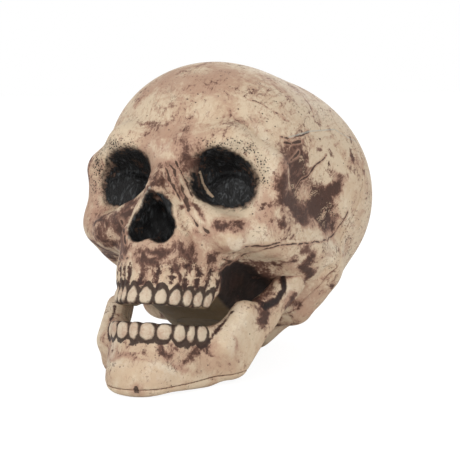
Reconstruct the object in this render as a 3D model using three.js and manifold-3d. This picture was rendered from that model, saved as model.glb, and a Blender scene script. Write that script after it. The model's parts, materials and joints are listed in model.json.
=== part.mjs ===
// A life-size plastic skull for a Halloween display. The cranium is moulded as a face shell and a
// rear shell that meet behind the ears, and a flat panel closes it below. The lower jaw, a shell
// over a cover strip, swings on two pins under the temples.
//
// Skull frame, millimetres: origin midway between the jaw pins, +x to the skull's left, +y to the
// back of the head, +z up. Both sides are alike, so a place is given for the left side.
// The finished skull is tipped back until it stands on its jaw and on the back of its base.
import * as THREE from 'three';
import { mergeVertices } from 'three/addons/utils/BufferGeometryUtils.js';
import Module from 'manifold-3d';

const wasm = await Module();
wasm.setup();

// Walls, clearances and surface cells
const wall = 3;
const seat = 0.3; // gap between pieces that touch
const overrun = 2; // how far a cutter runs past what it cuts
const faceCell = 5.4;
const noseCell = 4.4;
const domeCell = 11;
const napeCell = 8;
const jawCell = 5.4;
const craniumMargin = 5.8; // space round the form in its grid
const jawMargin = 4.8;
const roundSides = 12;
const ovalRings = 9;
const floorSink = 0.8; // how much the floor flattens the lowest edges

// Brain case
const rearDome = { at: [0, 22, 53.5], size: [73, 76.5, 65] };
const forehead = { at: [0, -24, 51], size: [60, 55, 55], blend: 12 };
const nape = { at: [0, 38, 10], size: [49, 49, 33], blend: 18 };
const keel = { at: [0, 18, -14], size: [32, 50, 28], blend: 10 };
const mastoid = { from: [48, 24, 6], to: [42, 24, -15], radii: [13, 9], blend: 18 };
const basePlate = { at: [0, -10, -24], size: [25, 52, 14], powerShare: 3.5, blend: 6 };

// Brow and face
const brow = [
  { from: [6, -75, 37], to: [30, -72, 40], radii: [6.5, 6.5], blend: 10 },
  { from: [30, -72, 40], to: [49, -58, 34], radii: [6.5, 5], blend: 13 },
];
const faceCore = { at: [0, -48, 0], size: [33, 32, 30] };
const noseBones = [
  { from: [0, -76, 27], to: [0, -89.6, 8], radii: [5, 2.6], blend: 8 },
  { from: [4, -77, 16], to: [7.5, -79, 1], radii: [4.2, 3.2], blend: 6 },
  { from: [2, -87, 7.5], to: [9, -79, -3], radii: [2.6, 3], blend: 4 },
  { from: [9, -79, -3], to: [13.5, -76.5, -14], radii: [3, 4], blend: 4 },
  { from: [13.5, -76.5, -14], to: [7, -76.5, -23], radii: [4, 3.5], blend: 5 },
  { from: [0, -77.5, -23], to: [0, -75, -30], radii: [4, 4], blend: 5 },
];
const upperJaw = { at: [0, -48, -26], size: [26, 34, 18], blend: 10 };
const cheek = [
  { from: [22, -68, -2.5], to: [35, -61, -6], radii: [7.4, 7.4], blend: 8 },
  { from: [35, -61, -6], to: [46, -50, 3], radii: [7.4, 7], blend: 7 },
  { from: [46, -50, 3], to: [49, -56, 29], radii: [7, 6], blend: 8 },
  { from: [47, -46, 3], to: [56, -8, 8], radii: [7, 5.6], blend: 10 },
  { from: [56, -8, 8], to: [58, 16, 10], radii: [5.6, 5.4], blend: 10 },
];
const hingeBoss = { from: [50, 0, 4], to: [51.5, 0, 2], radii: [6.5, 6.5], blend: 6 };
const faceBlend = 14;
const sideWall = { at: [40, -20, 12], size: [22, 36, 24], blend: 14 };

// Hollows of the cranium
const temple = { at: [76, -32, 32], size: [13, 20, 24], blend: 14 };
const eyeSocket = { at: [30.2, -78, 20], size: [17.4, 22, 13.4], powerShare: 2.5, tiltShare: 0.1, blend: 4 };
const socketFloor = { at: [30, -55, 17.5], size: [16, 9.5, 12.5], blend: 4 };
const nostril = { at: [6, -84, -11.5], size: [6.2, 16, 7.8], blend: 2 };
const noseTop = { at: [0, -86, -5.5], size: [6.8, 17, 10.5], blend: 4 };
const cheekHollow = { at: [46, -28, -30], size: [16, 18, 22], blend: 5 };
const earHollow = { at: [66, 12, -2], size: [8, 5, 8], blend: 3 };
const palate = { at: [0, -48, -48], size: [15, 24, 13], blend: 4 };
const base = { level: -35, front: -44, dropShare: 2, blend: 5 };

// Tooth arches: half ellipses in plan that run straight back on both sides
const upperArch = { front: -77, halfWidth: 21, length: 38 };
const lowerArch = { front: -72, halfWidth: 25, length: 46, halfWall: 5.4 };
// Levels of the middles of the two rows, which climb to the back
const upperBite = { level: -48, front: -83, climbShare: 0.29 };
const lowerBite = { level: -64.6, front: -76, climbShare: 0.3 };
const upperGum = { above: 12, halfHeight: 16.6, inset: 0.8, halfWall: 6, rear: -46, round: 3, rearRound: 6, blend: 6 };

// Jaw body, in its resting pose with the mouth open
const jawTop = { level: -60.4, front: -76, riseShare: 0.28 };
const jawLow = { level: -94.5, front: -66, riseShare: 0.36, bow: 200 };
const jawSeam = { level: -91, front: -66, riseShare: 0.58 }; // where the cover meets the shell
const jawLean = { level: -58, share: 0.22 }; // how far the chin goes back below a level
const jawSwell = { extra: 0.8, start: 8, end: 20 }; // the wall is thicker lower down
const jawRear = -32;
const jawRound = 4;
const jawRearRound = 6;
const chin = { at: [0, -66, -85], size: [15, 9, 9], blend: 8 };
const branch = { across: 36, up: -60, back: -30, upShare: 0.1, backShare: 0.24, halfWall: 4.8 };
const branchOutline = [
  { from: [0, -32, -63], to: [0, -18, -34], radii: [11, 9], blend: 5 },
  { from: [0, -18, -34], to: [0, -3, -10], radii: [9, 7.5], blend: 5 },
  { from: [0, -40, -60], to: [0, -32, -38], radii: [7, 5.5], blend: 7 },
];
const branchRound = 6;
const branchBars = [
  { from: [32, -43, -60], to: [36, -33, -39], radii: [6, 5], blend: 5 },
  { from: [44, -4, -14], to: [47, 0, -8], radii: [6, 6], blend: 5 },
];
const branchBlend = 8;

// Signed distances: negative inside
const left = (p) => [Math.abs(p[0]), p[1], p[2]];

function ovalDistance(p, oval) {
  const q = p.map((value, k) => (value - oval.at[k]) / oval.size[k]);
  const near = Math.hypot(...q);
  const slope = Math.hypot(...q.map((value, k) => value / oval.size[k]));
  return slope === 0 ? -Math.min(...oval.size) : (near * (near - 1)) / slope;
}

// An oval with squarer sides
function bluntDistance(p, oval) {
  const q = p.map((value, k) => (Math.abs(value - oval.at[k]) / oval.size[k]) ** oval.powerShare);
  const near = (q[0] + q[1] + q[2]) ** (1 / oval.powerShare);
  return (near - 1) * Math.min(...oval.size);
}

function barDistance(p, bar) {
  const along = bar.to.map((value, k) => value - bar.from[k]);
  const reach = p.map((value, k) => value - bar.from[k]);
  const dot = (a, b) => a[0] * b[0] + a[1] * b[1] + a[2] * b[2];
  const share = THREE.MathUtils.clamp(dot(reach, along) / dot(along, along), 0, 1);
  const radius = THREE.MathUtils.lerp(bar.radii[0], bar.radii[1], share);
  return Math.hypot(...reach.map((value, k) => value - along[k] * share)) - radius;
}

function join(a, b, blend) {
  const mix = Math.max(blend - Math.abs(a - b), 0) / blend;
  return Math.min(a, b) - (mix * mix * blend) / 4;
}

const trim = (a, b, blend) => -join(-a, -b, blend);
const joinOval = (d, p, oval) => join(d, ovalDistance(p, oval), oval.blend);
const cutOval = (d, p, oval) => trim(d, -ovalDistance(p, oval), oval.blend);
const joinBars = (d, p, bars) => bars.reduce((sum, bar) => join(sum, barDistance(p, bar), bar.blend), d);

// Distance in plan to an arch's middle line, negative on the tongue's side
function archDistance(x, y, arch) {
  const behind = Math.min(y - (arch.front + arch.length), 0);
  const near = Math.hypot(x / arch.halfWidth, behind / arch.length);
  const slope = Math.hypot(x / arch.halfWidth ** 2, behind / arch.length ** 2);
  return slope === 0 ? -arch.halfWidth : (near * (near - 1)) / slope;
}

const levelAt = (edge, y) => edge.level + (edge.riseShare ?? edge.climbShare) * (y - edge.front);

function upperGumDistance(p) {
  const side = Math.abs(archDistance(p[0], p[1], upperArch) + upperGum.inset) - upperGum.halfWall;
  const up = p[2] - levelAt(upperBite, p[1]) - upperGum.above;
  const band = trim(side, Math.abs(up) - upperGum.halfHeight, upperGum.round);
  return trim(band, p[1] - upperGum.rear, upperGum.rearRound);
}

function socketDistance(p) {
  const turned = [p[0], p[1], p[2] + eyeSocket.tiltShare * (p[0] - eyeSocket.at[0])];
  return trim(bluntDistance(turned, eyeSocket), -ovalDistance(p, socketFloor), socketFloor.blend);
}

function craniumDistance(point) {
  const p = left(point);
  let d = joinOval(ovalDistance(p, rearDome), p, forehead);
  d = joinOval(d, p, nape);
  d = joinOval(d, p, keel);
  d = joinBars(d, p, brow);
  let face = joinBars(ovalDistance(p, faceCore), p, noseBones);
  face = joinOval(face, p, upperJaw);
  const bone = joinBars(barDistance(p, cheek[0]), p, cheek.slice(1));
  face = join(face, bone, cheek[0].blend);
  d = join(d, face, faceBlend);
  d = joinBars(d, p, [mastoid]);
  d = joinOval(d, p, sideWall);
  d = join(d, bluntDistance(p, basePlate), basePlate.blend);
  d = joinBars(d, p, [hingeBoss]);
  d = join(d, upperGumDistance(p), upperGum.blend);
  d = cutOval(d, p, temple);
  d = trim(d, -socketDistance(p), eyeSocket.blend);
  const nose = join(ovalDistance(p, nostril), ovalDistance(p, noseTop), noseTop.blend);
  d = trim(d, -nose, nostril.blend);
  d = cutOval(d, p, cheekHollow);
  d = cutOval(d, p, earHollow);
  d = cutOval(d, p, palate);
  const ahead = Math.max(base.front - p[1], 0) * base.dropShare;
  return trim(d, base.level - p[2] - ahead, base.blend);
}

// Level of the jaw's lower edge, which bows up to both sides
const jawLowAt = (x, y) => levelAt(jawLow, y) + x ** 2 / jawLow.bow;

// How far out the middle of a branch stands
const branchPlane = (p) =>
  branch.across + branch.upShare * (p[2] - branch.up) + branch.backShare * (p[1] - branch.back);

function jawDistance(point) {
  const p = left(point);
  const lean = jawLean.share * (p[2] - jawLean.level);
  const top = levelAt(jawTop, p[1]);
  const low = jawLowAt(p[0], p[1]);
  const halfWall =
    lowerArch.halfWall + jawSwell.extra * THREE.MathUtils.smoothstep(top - p[2], jawSwell.start, jawSwell.end);
  const side = Math.abs(archDistance(p[0], p[1] + lean, lowerArch)) - halfWall;
  let d = trim(side, Math.abs(p[2] - (top + low) / 2) - (top - low) / 2, jawRound);
  d = trim(d, p[1] - jawRear, jawRearRound);
  d = joinOval(d, p, chin);
  const flat = [0, p[1], p[2]];
  const outline = joinBars(barDistance(flat, branchOutline[0]), flat, branchOutline.slice(1));
  const plate = trim(outline, Math.abs(p[0] - branchPlane(p)) - branch.halfWall, branchRound);
  return join(d, joinBars(plate, p, branchBars), branchBlend);
}

// Surface of a distance function: one point in each cell that the surface crosses, pulled onto the
// surface, and one four-sided face round each crossed cell edge
function surfaceOf(distance, grid) {
  const count = grid.map((lines) => lines.length);
  const place = (i, j, k) => (k * count[1] + j) * count[0] + i;
  const field = new Float64Array(count[0] * count[1] * count[2]);
  for (let k = 0; k < count[2]; k++) {
    for (let j = 0; j < count[1]; j++) {
      for (let i = 0; i < count[0]; i++) {
        field[place(i, j, k)] = distance([grid[0][i], grid[1][j], grid[2][k]]);
      }
    }
  }
  const points = [];
  const pointOf = new Map();
  const cellPoint = (cell) => {
    const key = place(...cell);
    if (!pointOf.has(key)) {
      pointOf.set(key, points.length / 3);
      points.push(...settle(distance, crossingMiddle(grid, field, place, cell), grid, cell));
    }
    return pointOf.get(key);
  };
  const faces = [];
  for (let axis = 0; axis < 3; axis++) {
    const [side, rise] = [(axis + 1) % 3, (axis + 2) % 3];
    const node = [0, 0, 0];
    for (node[2] = 0; node[2] < count[2]; node[2]++) {
      for (node[1] = 0; node[1] < count[1]; node[1]++) {
        for (node[0] = 0; node[0] < count[0]; node[0]++) {
          if (node[axis] + 1 >= count[axis] || node[side] === 0 || node[rise] === 0) continue;
          const next = [...node];
          next[axis]++;
          const inside = field[place(...node)] < 0;
          if (inside === field[place(...next)] < 0) continue;
          const ring = [[0, 0], [1, 0], [1, 1], [0, 1]].map(([a, b]) => {
            const cell = [...node];
            cell[side] -= a;
            cell[rise] -= b;
            return cellPoint(cell);
          });
          if (!inside) ring.reverse();
          faces.push(ring[0], ring[1], ring[2], ring[0], ring[2], ring[3]);
        }
      }
    }
  }
  const geometry = new THREE.BufferGeometry();
  geometry.setAttribute('position', new THREE.Float32BufferAttribute(points, 3));
  geometry.setIndex(faces);
  return geometry;
}

// Mean of the points where the surface crosses the twelve edges of a cell
function crossingMiddle(grid, field, place, cell) {
  const sum = [0, 0, 0];
  let crossings = 0;
  for (let axis = 0; axis < 3; axis++) {
    for (let corner = 0; corner < 4; corner++) {
      const from = [...cell];
      from[(axis + 1) % 3] += corner & 1;
      from[(axis + 2) % 3] += corner >> 1;
      const to = [...from];
      to[axis]++;
      const a = field[place(...from)];
      const b = field[place(...to)];
      if (a < 0 === b < 0) continue;
      crossings++;
      for (let k = 0; k < 3; k++) {
        sum[k] += THREE.MathUtils.lerp(grid[k][from[k]], grid[k][to[k]], a / (a - b));
      }
    }
  }
  return sum.map((value) => value / crossings);
}

// Moves a point along the slope of the distance to the surface, and keeps it in its cell
function settle(distance, start, grid, cell) {
  const probe = seat;
  const limit = (value, k) => THREE.MathUtils.clamp(value, grid[k][cell[k]], grid[k][cell[k] + 1]);
  let p = start;
  for (let step = 0; step < 3; step++) {
    const d = distance(p);
    const slope = p.map((value, k) => {
      const q = [...p];
      q[k] += probe;
      return (distance(q) - d) / probe;
    });
    const steep = slope.reduce((sum, value) => sum + value * value, 0);
    p = p.map((value, k) => limit(value - (d * slope[k]) / Math.max(steep, 1 / 4), k));
  }
  return p;
}

// Grid lines from the first stop to the last; each stop is [place, size of the cells after it]
function gridLines(stops) {
  const lines = [];
  for (let k = 0; k + 1 < stops.length; k++) {
    const [start, cell] = stops[k];
    const cells = Math.max(Math.round((stops[k + 1][0] - start) / cell), 1);
    for (let i = 0; i < cells; i++) lines.push(THREE.MathUtils.lerp(start, stops[k + 1][0], i / cells));
  }
  lines.push(stops.at(-1)[0]);
  return lines;
}

// Solids
function solidOf(geometry) {
  const bare = geometry.clone();
  bare.deleteAttribute('normal');
  bare.deleteAttribute('uv');
  const merged = mergeVertices(bare, seat / 1000);
  return new wasm.Manifold(
    new wasm.Mesh({
      numProp: 3,
      vertProperties: merged.attributes.position.array,
      triVerts: new Uint32Array(merged.index.array),
    }),
  );
}

function geometryOf(solid) {
  const mesh = solid.getMesh();
  const geometry = new THREE.BufferGeometry();
  geometry.setAttribute('position', new THREE.Float32BufferAttribute(mesh.vertProperties, 3));
  geometry.setIndex([...mesh.triVerts]);
  geometry.computeVertexNormals();
  return geometry;
}

const box = (x0, x1, y0, y1, z0, z1) =>
  new THREE.BoxGeometry(x1 - x0, y1 - y0, z1 - z0).translate((x0 + x1) / 2, (y0 + y1) / 2, (z0 + z1) / 2);

const ovalSolid = (oval, grow, side = 1) =>
  solidOf(
    new THREE.SphereGeometry(1, 2 * ovalRings, ovalRings)
      .scale(...oval.size.map((value) => value + grow))
      .translate(side * oval.at[0], oval.at[1], oval.at[2]),
  );

const mirrored = (solid) => solid.mirror([1, 0, 0]);

// A round bar along x, y or z
function roundBar(axis, radius, start, end, at) {
  const geometry = new THREE.CylinderGeometry(radius, radius, end - start, roundSides);
  geometry.translate(0, (start + end) / 2, 0);
  if (axis === 'x') geometry.rotateZ(-Math.PI / 2);
  if (axis === 'z') geometry.rotateX(Math.PI / 2);
  return solidOf(geometry.translate(...at));
}

// Teeth: one half of a row from the middle to the back, then its mirror image
function archPlace(arch, walk) {
  const steps = 400;
  let travelled = 0;
  let [x, y] = [0, arch.front];
  for (let k = 1; k <= steps; k++) {
    const angle = ((Math.PI / 2) * k) / steps;
    const nextX = arch.halfWidth * Math.sin(angle);
    const nextY = arch.front + arch.length * (1 - Math.cos(angle));
    const stride = Math.hypot(nextX - x, nextY - y);
    if (travelled + stride >= walk) return { x, y, turn: Math.atan2(nextY - y, nextX - x) };
    travelled += stride;
    [x, y] = [nextX, nextY];
  }
  return { x, y: y + walk - travelled, turn: Math.PI / 2 };
}

function toothRow(arch, row) {
  let walk = 0;
  const teeth = [];
  for (const width of row.widths) {
    const { x, y, turn } = archPlace(arch, walk + width / 2);
    walk += width;
    const tooth = new THREE.SphereGeometry(1, row.sides, row.rings);
    tooth.scale((width * row.fillShare) / 2, row.depth / 2, row.height / 2).rotateZ(turn);
    const out = [Math.sin(turn) * row.proud, -Math.cos(turn) * row.proud];
    const level = levelAt(row.bite, y + out[1]);
    const back = row.leanShare * (jawLean.level - level);
    tooth.translate(x + out[0], y + out[1] + back, level);
    teeth.push(solidOf(tooth));
  }
  const half = teeth.reduce((sum, tooth) => sum.add(tooth));
  return half.add(mirrored(half));
}

// Outlines in plan
function roundedOutline(front, rear, halfWidth, corner) {
  const shape = new THREE.Shape();
  shape.moveTo(corner - halfWidth, front);
  shape.lineTo(halfWidth - corner, front);
  shape.absarc(halfWidth - corner, front + corner, corner, -Math.PI / 2, 0);
  shape.lineTo(halfWidth, rear - corner);
  shape.absarc(halfWidth - corner, rear - corner, corner, 0, Math.PI / 2);
  shape.lineTo(corner - halfWidth, rear);
  shape.absarc(corner - halfWidth, rear - corner, corner, Math.PI / 2, Math.PI);
  shape.lineTo(-halfWidth, front + corner);
  shape.absarc(corner - halfWidth, front + corner, corner, Math.PI, 1.5 * Math.PI);
  return shape;
}

function prism(shape, z0, z1) {
  const settings = { depth: z1 - z0, bevelEnabled: false, curveSegments: 4 };
  return new THREE.ExtrudeGeometry(shape, settings).translate(0, 0, z0);
}

// Channel along an arch: a band between two half ellipses, as far back as `rear`
function archBand(arch, halfBand, rear) {
  const middle = arch.front + arch.length;
  const shape = new THREE.Shape();
  const outer = [arch.halfWidth + halfBand, arch.length + halfBand];
  const inner = [arch.halfWidth - halfBand, arch.length - halfBand];
  const outerEnd = Math.asin((middle - rear) / outer[1]);
  const innerEnd = Math.asin((middle - rear) / inner[1]);
  shape.absellipse(0, middle, ...outer, Math.PI + outerEnd, 2 * Math.PI - outerEnd);
  shape.absellipse(0, middle, ...inner, 2 * Math.PI - innerEnd, Math.PI + innerEnd, true);
  return shape;
}

// Cranium
const craniumSpan = {
  side: rearDome.size[0] + craniumMargin,
  front: noseBones[0].to[1] - noseBones[0].radii[1] - craniumMargin,
  rear: rearDome.at[1] + rearDome.size[1] + craniumMargin,
  bottom: upperBite.level - 2 * craniumMargin,
  top: rearDome.at[2] + rearDome.size[2] + craniumMargin,
};
const faceSpan = { side: 64, rear: -34, top: 44 };
const noseSpan = { side: 16, rear: -72, bottom: -20, top: 14 };
const seam = 16;
const faceGrid = [
  gridLines([
    [-craniumSpan.side, domeCell],
    [-faceSpan.side, faceCell],
    [-noseSpan.side, noseCell],
    [noseSpan.side, faceCell],
    [faceSpan.side, domeCell],
    [craniumSpan.side],
  ]),
  gridLines([
    [craniumSpan.front, noseCell],
    [noseSpan.rear, faceCell],
    [faceSpan.rear, napeCell],
    [seam + 2 * napeCell],
  ]),
  gridLines([
    [craniumSpan.bottom, faceCell],
    [noseSpan.bottom, noseCell],
    [noseSpan.top, faceCell],
    [faceSpan.top, domeCell],
    [craniumSpan.top],
  ]),
];
const rearGrid = [
  gridLines([[-craniumSpan.side, domeCell], [craniumSpan.side]]),
  gridLines([[seam - 2 * domeCell, domeCell], [craniumSpan.rear]]),
  gridLines([
    [craniumSpan.bottom, napeCell],
    [seam, domeCell],
    [craniumSpan.top],
  ]),
];

const panel = { front: -9, rear: 43, halfWidth: 17, corner: 12, thick: 2.6, ledge: 5, ledgeWall: 6 };
const panelTop = base.level + panel.thick + seat;
const cavityFloor = panelTop + panel.ledgeWall;
const farOut = 2 * craniumSpan.top;

const hinge = { boss: 41, wallFace: 54.8, pocket: 12.6, slotDown: 30, slotAhead: 7, pinHeadAt: 26, pinEnd: 57 };
const condyle = { from: 42.6, to: 54.2, radius: 7, neckRelief: 18 };
const pin = { radius: 1.9, head: 4.2, headThick: 2.4, clearance: 0.25 };
const washer = { radius: 5.6 };

function hingePocket() {
  const outline = new THREE.Shape();
  const lean = Math.atan2(hinge.slotAhead, hinge.slotDown);
  const [c, s] = [Math.cos(lean) * hinge.pocket, Math.sin(lean) * hinge.pocket];
  outline.absarc(0, 0, hinge.pocket, -lean, Math.PI - lean);
  outline.lineTo(-hinge.slotAhead - c, -hinge.slotDown + s);
  outline.lineTo(-hinge.slotAhead + c, -hinge.slotDown - s);
  const geometry = new THREE.ExtrudeGeometry(outline, {
    depth: hinge.wallFace - hinge.boss,
    bevelEnabled: false,
    curveSegments: 5,
  });
  geometry.rotateX(Math.PI / 2).rotateZ(Math.PI / 2);
  return solidOf(geometry.translate(hinge.boss, 0, 0));
}

const screw = { radius: 1.3, head: 2.6, headThick: 1.4, length: 5.2 };
const screwInset = panel.ledge / 2 + seat;
const baseScrewPlaces = [
  [panel.halfWidth - screwInset, panel.front + panel.corner],
  [panel.halfWidth - screwInset, panel.rear - panel.corner],
];

function cavity() {
  const thin = [rearDome, forehead, nape];
  const thick = [keel, faceCore, upperJaw];
  const rooms = [...thin.map((oval) => ovalSolid(oval, -wall)), ...thick.map((oval) => ovalSolid(oval, -2 * wall))];
  let hollow = rooms.reduce((sum, room) => sum.add(room));
  for (const side of [-1, 1]) {
    hollow = hollow.subtract(ovalSolid(eyeSocket, 1.5 * wall, side));
    for (const dent of [nostril, cheekHollow]) {
      hollow = hollow.subtract(ovalSolid(dent, wall, side));
    }
    hollow = hollow.subtract(ovalSolid(temple, wall + temple.blend / 4, side));
  }
  hollow = hollow.subtract(ovalSolid(noseTop, wall)).subtract(ovalSolid(palate, wall));
  hollow = hollow.subtract(solidOf(box(-farOut, farOut, -farOut, farOut, -farOut, cavityFloor)));
  const opening = roundedOutline(
    panel.front + panel.ledge,
    panel.rear - panel.ledge,
    panel.halfWidth - panel.ledge,
    panel.corner - panel.ledge,
  );
  return hollow.add(solidOf(prism(opening, base.level - overrun, cavityFloor + overrun)));
}

const upperTeeth = {
  widths: [7.2, 7, 6.6, 6, 6.4, 6],
  fillShare: 1,
  depth: 8.2,
  height: 10,
  proud: 2.2,
  bite: upperBite,
  leanShare: 0,
  sides: 8,
  rings: 5,
};

// What both shells have in common: the cavity, the panel's rebate and the hinges
function hollowed(surface) {
  let body = surface.subtract(cavity());
  const rebate = roundedOutline(panel.front, panel.rear, panel.halfWidth, panel.corner);
  body = body.subtract(solidOf(prism(rebate, base.level - overrun, panelTop)));
  const pocket = hingePocket();
  const bore = roundBar('x', pin.radius + pin.clearance, 0, hinge.pinEnd, [0, 0, 0]);
  const headBore = roundBar('x', pin.head + seat, 0, hinge.boss - 4 * wall, [0, 0, 0]);
  const side = pocket.add(bore).add(headBore);
  body = body.subtract(side).subtract(mirrored(side));
  for (const [x, y] of baseScrewPlaces) {
    for (const across of [-x, x]) {
      body = body.subtract(screwHole([across, y, panelTop], screw.length - panel.thick));
    }
  }
  return body;
}

const screwHole = (at, depth) => roundBar('z', screw.radius + seat, -overrun, depth + seat, at);

function screwSolid(at) {
  const head = roundBar('z', screw.head, 0, screw.headThick, at);
  return head.add(roundBar('z', screw.radius, screw.headThick / 2, screw.length, at));
}

const frontHalf = solidOf(box(-farOut, farOut, -farOut, seam, -farOut, farOut));
const rearHalf = solidOf(box(-farOut, farOut, seam + seat, farOut, -farOut, farOut));
const frontDistance = (p) => Math.max(craniumDistance(p), p[1] - seam - napeCell);
const rearDistance = (p) => Math.max(craniumDistance(p), seam - domeCell - p[1]);
const faceSurface = solidOf(surfaceOf(frontDistance, faceGrid)).intersect(frontHalf);
const rearSurface = solidOf(surfaceOf(rearDistance, rearGrid)).intersect(rearHalf);
const faceShell = hollowed(faceSurface.add(toothRow(upperArch, upperTeeth)));
const rearShell = hollowed(rearSurface);

// Jaw
const branchOutside = Math.max(
  branchBars[1].to[0] + branchBars[1].radii[1],
  branchPlane(branchBars[1].from) + branch.halfWall,
);
const jawSpan = {
  side: branchOutside + jawMargin,
  front: lowerArch.front - lowerArch.halfWall - jawMargin,
  rear: branchBars[1].to[1] + branchBars[1].radii[1] + jawMargin,
  bottom: jawLow.level - jawMargin,
  top: branchBars[1].to[2] + branchBars[1].radii[1] + jawMargin,
};
const jawGrid = [
  gridLines([[-jawSpan.side, jawCell], [jawSpan.side]]),
  gridLines([[jawSpan.front, jawCell], [jawSpan.rear]]),
  gridLines([[jawSpan.bottom, jawCell], [jawSpan.top]]),
];
const lowerTeeth = {
  widths: [5.6, 6.4, 7.2, 6.2, 5.2, 6.6],
  fillShare: 1,
  depth: 8.2,
  height: 10,
  proud: 2.6,
  bite: lowerBite,
  leanShare: jawLean.share,
  sides: 8,
  rings: 5,
};
const channel = { halfBand: lowerArch.halfWall - wall, roof: -72, rear: -37 };
const jawScrewPlaces = [0, 34];
const jawScrewSink = 1.1;

// Everything below a level that rises with the seam of the jaw's cover
function belowJawSeam(height) {
  const slab = new THREE.BoxGeometry(farOut, farOut, farOut).translate(0, 0, -farOut / 2);
  slab.rotateX(Math.atan(jawSeam.riseShare));
  return solidOf(slab.translate(0, jawSeam.front, jawSeam.level + height));
}

function leaned(geometry) {
  const { level, share } = jawLean;
  const shear = new THREE.Matrix4();
  shear.set(1, 0, 0, 0, 0, 1, -share, share * level, 0, 0, 1, 0, 0, 0, 0, 1);
  return geometry.applyMatrix4(shear);
}

function jawScrewAt(walk) {
  const { x, y } = archPlace(lowerArch, walk);
  const edge = jawLowAt(x, y + jawLean.share * jawLean.level);
  const z = (edge + jawScrewSink) / (1 + jawLow.riseShare * jawLean.share);
  return [x, y - jawLean.share * (z - jawLean.level), z];
}

const jawScrews = jawScrewPlaces.flatMap((walk) => {
  const at = jawScrewAt(walk);
  return walk === 0 ? [at] : [at, [-at[0], at[1], at[2]]];
});

const jawBody = () => {
  let body = solidOf(surfaceOf(jawDistance, jawGrid)).add(toothRow(lowerArch, lowerTeeth));
  const head = roundBar('x', condyle.radius, condyle.from, condyle.to, [0, 0, 0]);
  const bore = roundBar('x', pin.radius + pin.clearance, 0, farOut, [0, 0, 0]);
  body = body.add(head).add(mirrored(head));
  const besideBoss = roundBar('x', condyle.neckRelief, -condyle.from, condyle.from, [0, 0, 0]);
  return body.subtract(bore).subtract(mirrored(bore)).subtract(besideBoss);
};

const jaw = jawBody();
const screwReach = 10;
const jawShell = () => {
  let hollow = solidOf(leaned(prism(archBand(lowerArch, channel.halfBand, channel.rear), -farOut, channel.roof)));
  for (const [x, y, z] of jawScrews) hollow = hollow.subtract(roundBar('z', wall, -farOut, farOut, [x, y, z]));
  let body = jaw.subtract(belowJawSeam(seat)).subtract(hollow);
  for (const at of jawScrews) body = body.subtract(roundBar('z', screw.radius + seat, 0, screwReach, at));
  return body;
};
const jawCover = () => {
  let body = jaw.intersect(belowJawSeam(0));
  for (const at of jawScrews) {
    body = body.subtract(roundBar('z', screw.head + seat, -farOut, screw.headThick + seat, at));
    body = body.subtract(roundBar('z', screw.radius + seat, 0, screwReach, at));
  }
  return body;
};

// Base panel, with countersinks for its screws
function basePanel() {
  const outline = roundedOutline(
    panel.front + seat,
    panel.rear - seat,
    panel.halfWidth - seat,
    panel.corner - seat,
  );
  let plate = solidOf(prism(outline, base.level, panelTop - seat));
  for (const [x, y] of baseScrewPlaces) {
    for (const across of [-x, x]) {
      const at = [across, y, base.level];
      plate = plate.subtract(roundBar('z', screw.head + seat, -overrun, screw.headThick + seat, at));
      plate = plate.subtract(roundBar('z', screw.radius + seat, 0, panel.thick + overrun, at));
    }
  }
  return plate;
}

function hingePin() {
  const shank = roundBar('x', pin.radius, hinge.pinHeadAt, hinge.pinEnd - seat, [0, 0, 0]);
  return shank.add(roundBar('x', pin.head, hinge.pinHeadAt, hinge.pinHeadAt + pin.headThick, [0, 0, 0]));
}

function hingeWasher() {
  const ring = roundBar('x', washer.radius, hinge.boss + seat, condyle.from - seat, [0, 0, 0]);
  return ring.subtract(roundBar('x', pin.radius + pin.clearance, 0, farOut, [0, 0, 0]));
}

// The skull rests on its jaw and on the back of its base: the pitch that brings both to one level
const lowest = (solid, angle) => solid.rotate([-angle, 0, 0]).boundingBox().min[2];
function restingPitch() {
  let [less, more] = [0, 60];
  for (let k = 0; k < 24; k++) {
    const angle = (less + more) / 2;
    if (lowest(rearShell, angle) > lowest(jaw, angle)) less = angle;
    else more = angle;
  }
  return less;
}

const pitch = restingPitch();
const floorLevel = lowest(jaw, pitch) + floorSink;
function floorSlab() {
  const slab = new THREE.BoxGeometry(2 * farOut, 2 * farOut, farOut).translate(0, 0, -farOut / 2);
  return solidOf(slab.translate(0, 0, floorLevel).rotateX(THREE.MathUtils.degToRad(pitch)));
}
const floor = floorSlab();

// Pieces and materials
const colours = { bone: 0xd9c4a8, cover: 0xcbb098, base: 0x6b6549, steel: 0x8a8781 };
const bone = new THREE.MeshStandardMaterial({ color: colours.bone, roughness: 0.5, metalness: 0 });
const boneCover = new THREE.MeshStandardMaterial({ color: colours.cover, roughness: 0.5, metalness: 0 });
const olive = new THREE.MeshStandardMaterial({ color: colours.base, roughness: 0.6, metalness: 0 });
const steel = new THREE.MeshStandardMaterial({ color: colours.steel, roughness: 0.35, metalness: 0.9 });

const skull = new THREE.Group();
skull.rotation.x = -THREE.MathUtils.degToRad(pitch);
function place(name, solid, material) {
  const mesh = new THREE.Mesh(geometryOf(solid), material);
  mesh.name = name;
  skull.add(mesh);
}

place('face_shell', faceShell, bone);
place('rear_shell', rearShell.subtract(floor), bone);
place('base_panel', basePanel(), olive);
let number = 1;
for (const [x, y] of baseScrewPlaces) {
  for (const across of [-x, x]) place(`base_screw_${number++}`, screwSolid([across, y, base.level + seat]), steel);
}
for (const [side, turned] of [['left', (solid) => solid], ['right', mirrored]]) {
  place(`hinge_pin_${side}`, turned(hingePin()), steel);
  place(`hinge_washer_${side}`, turned(hingeWasher()), olive);
}
place('jaw_shell', jawShell().subtract(floor), bone);
place('jaw_cover', jawCover().subtract(floor), boneCover);
jawScrews.forEach((at, k) => place(`jaw_screw_${k + 1}`, screwSolid(at), steel));

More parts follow.
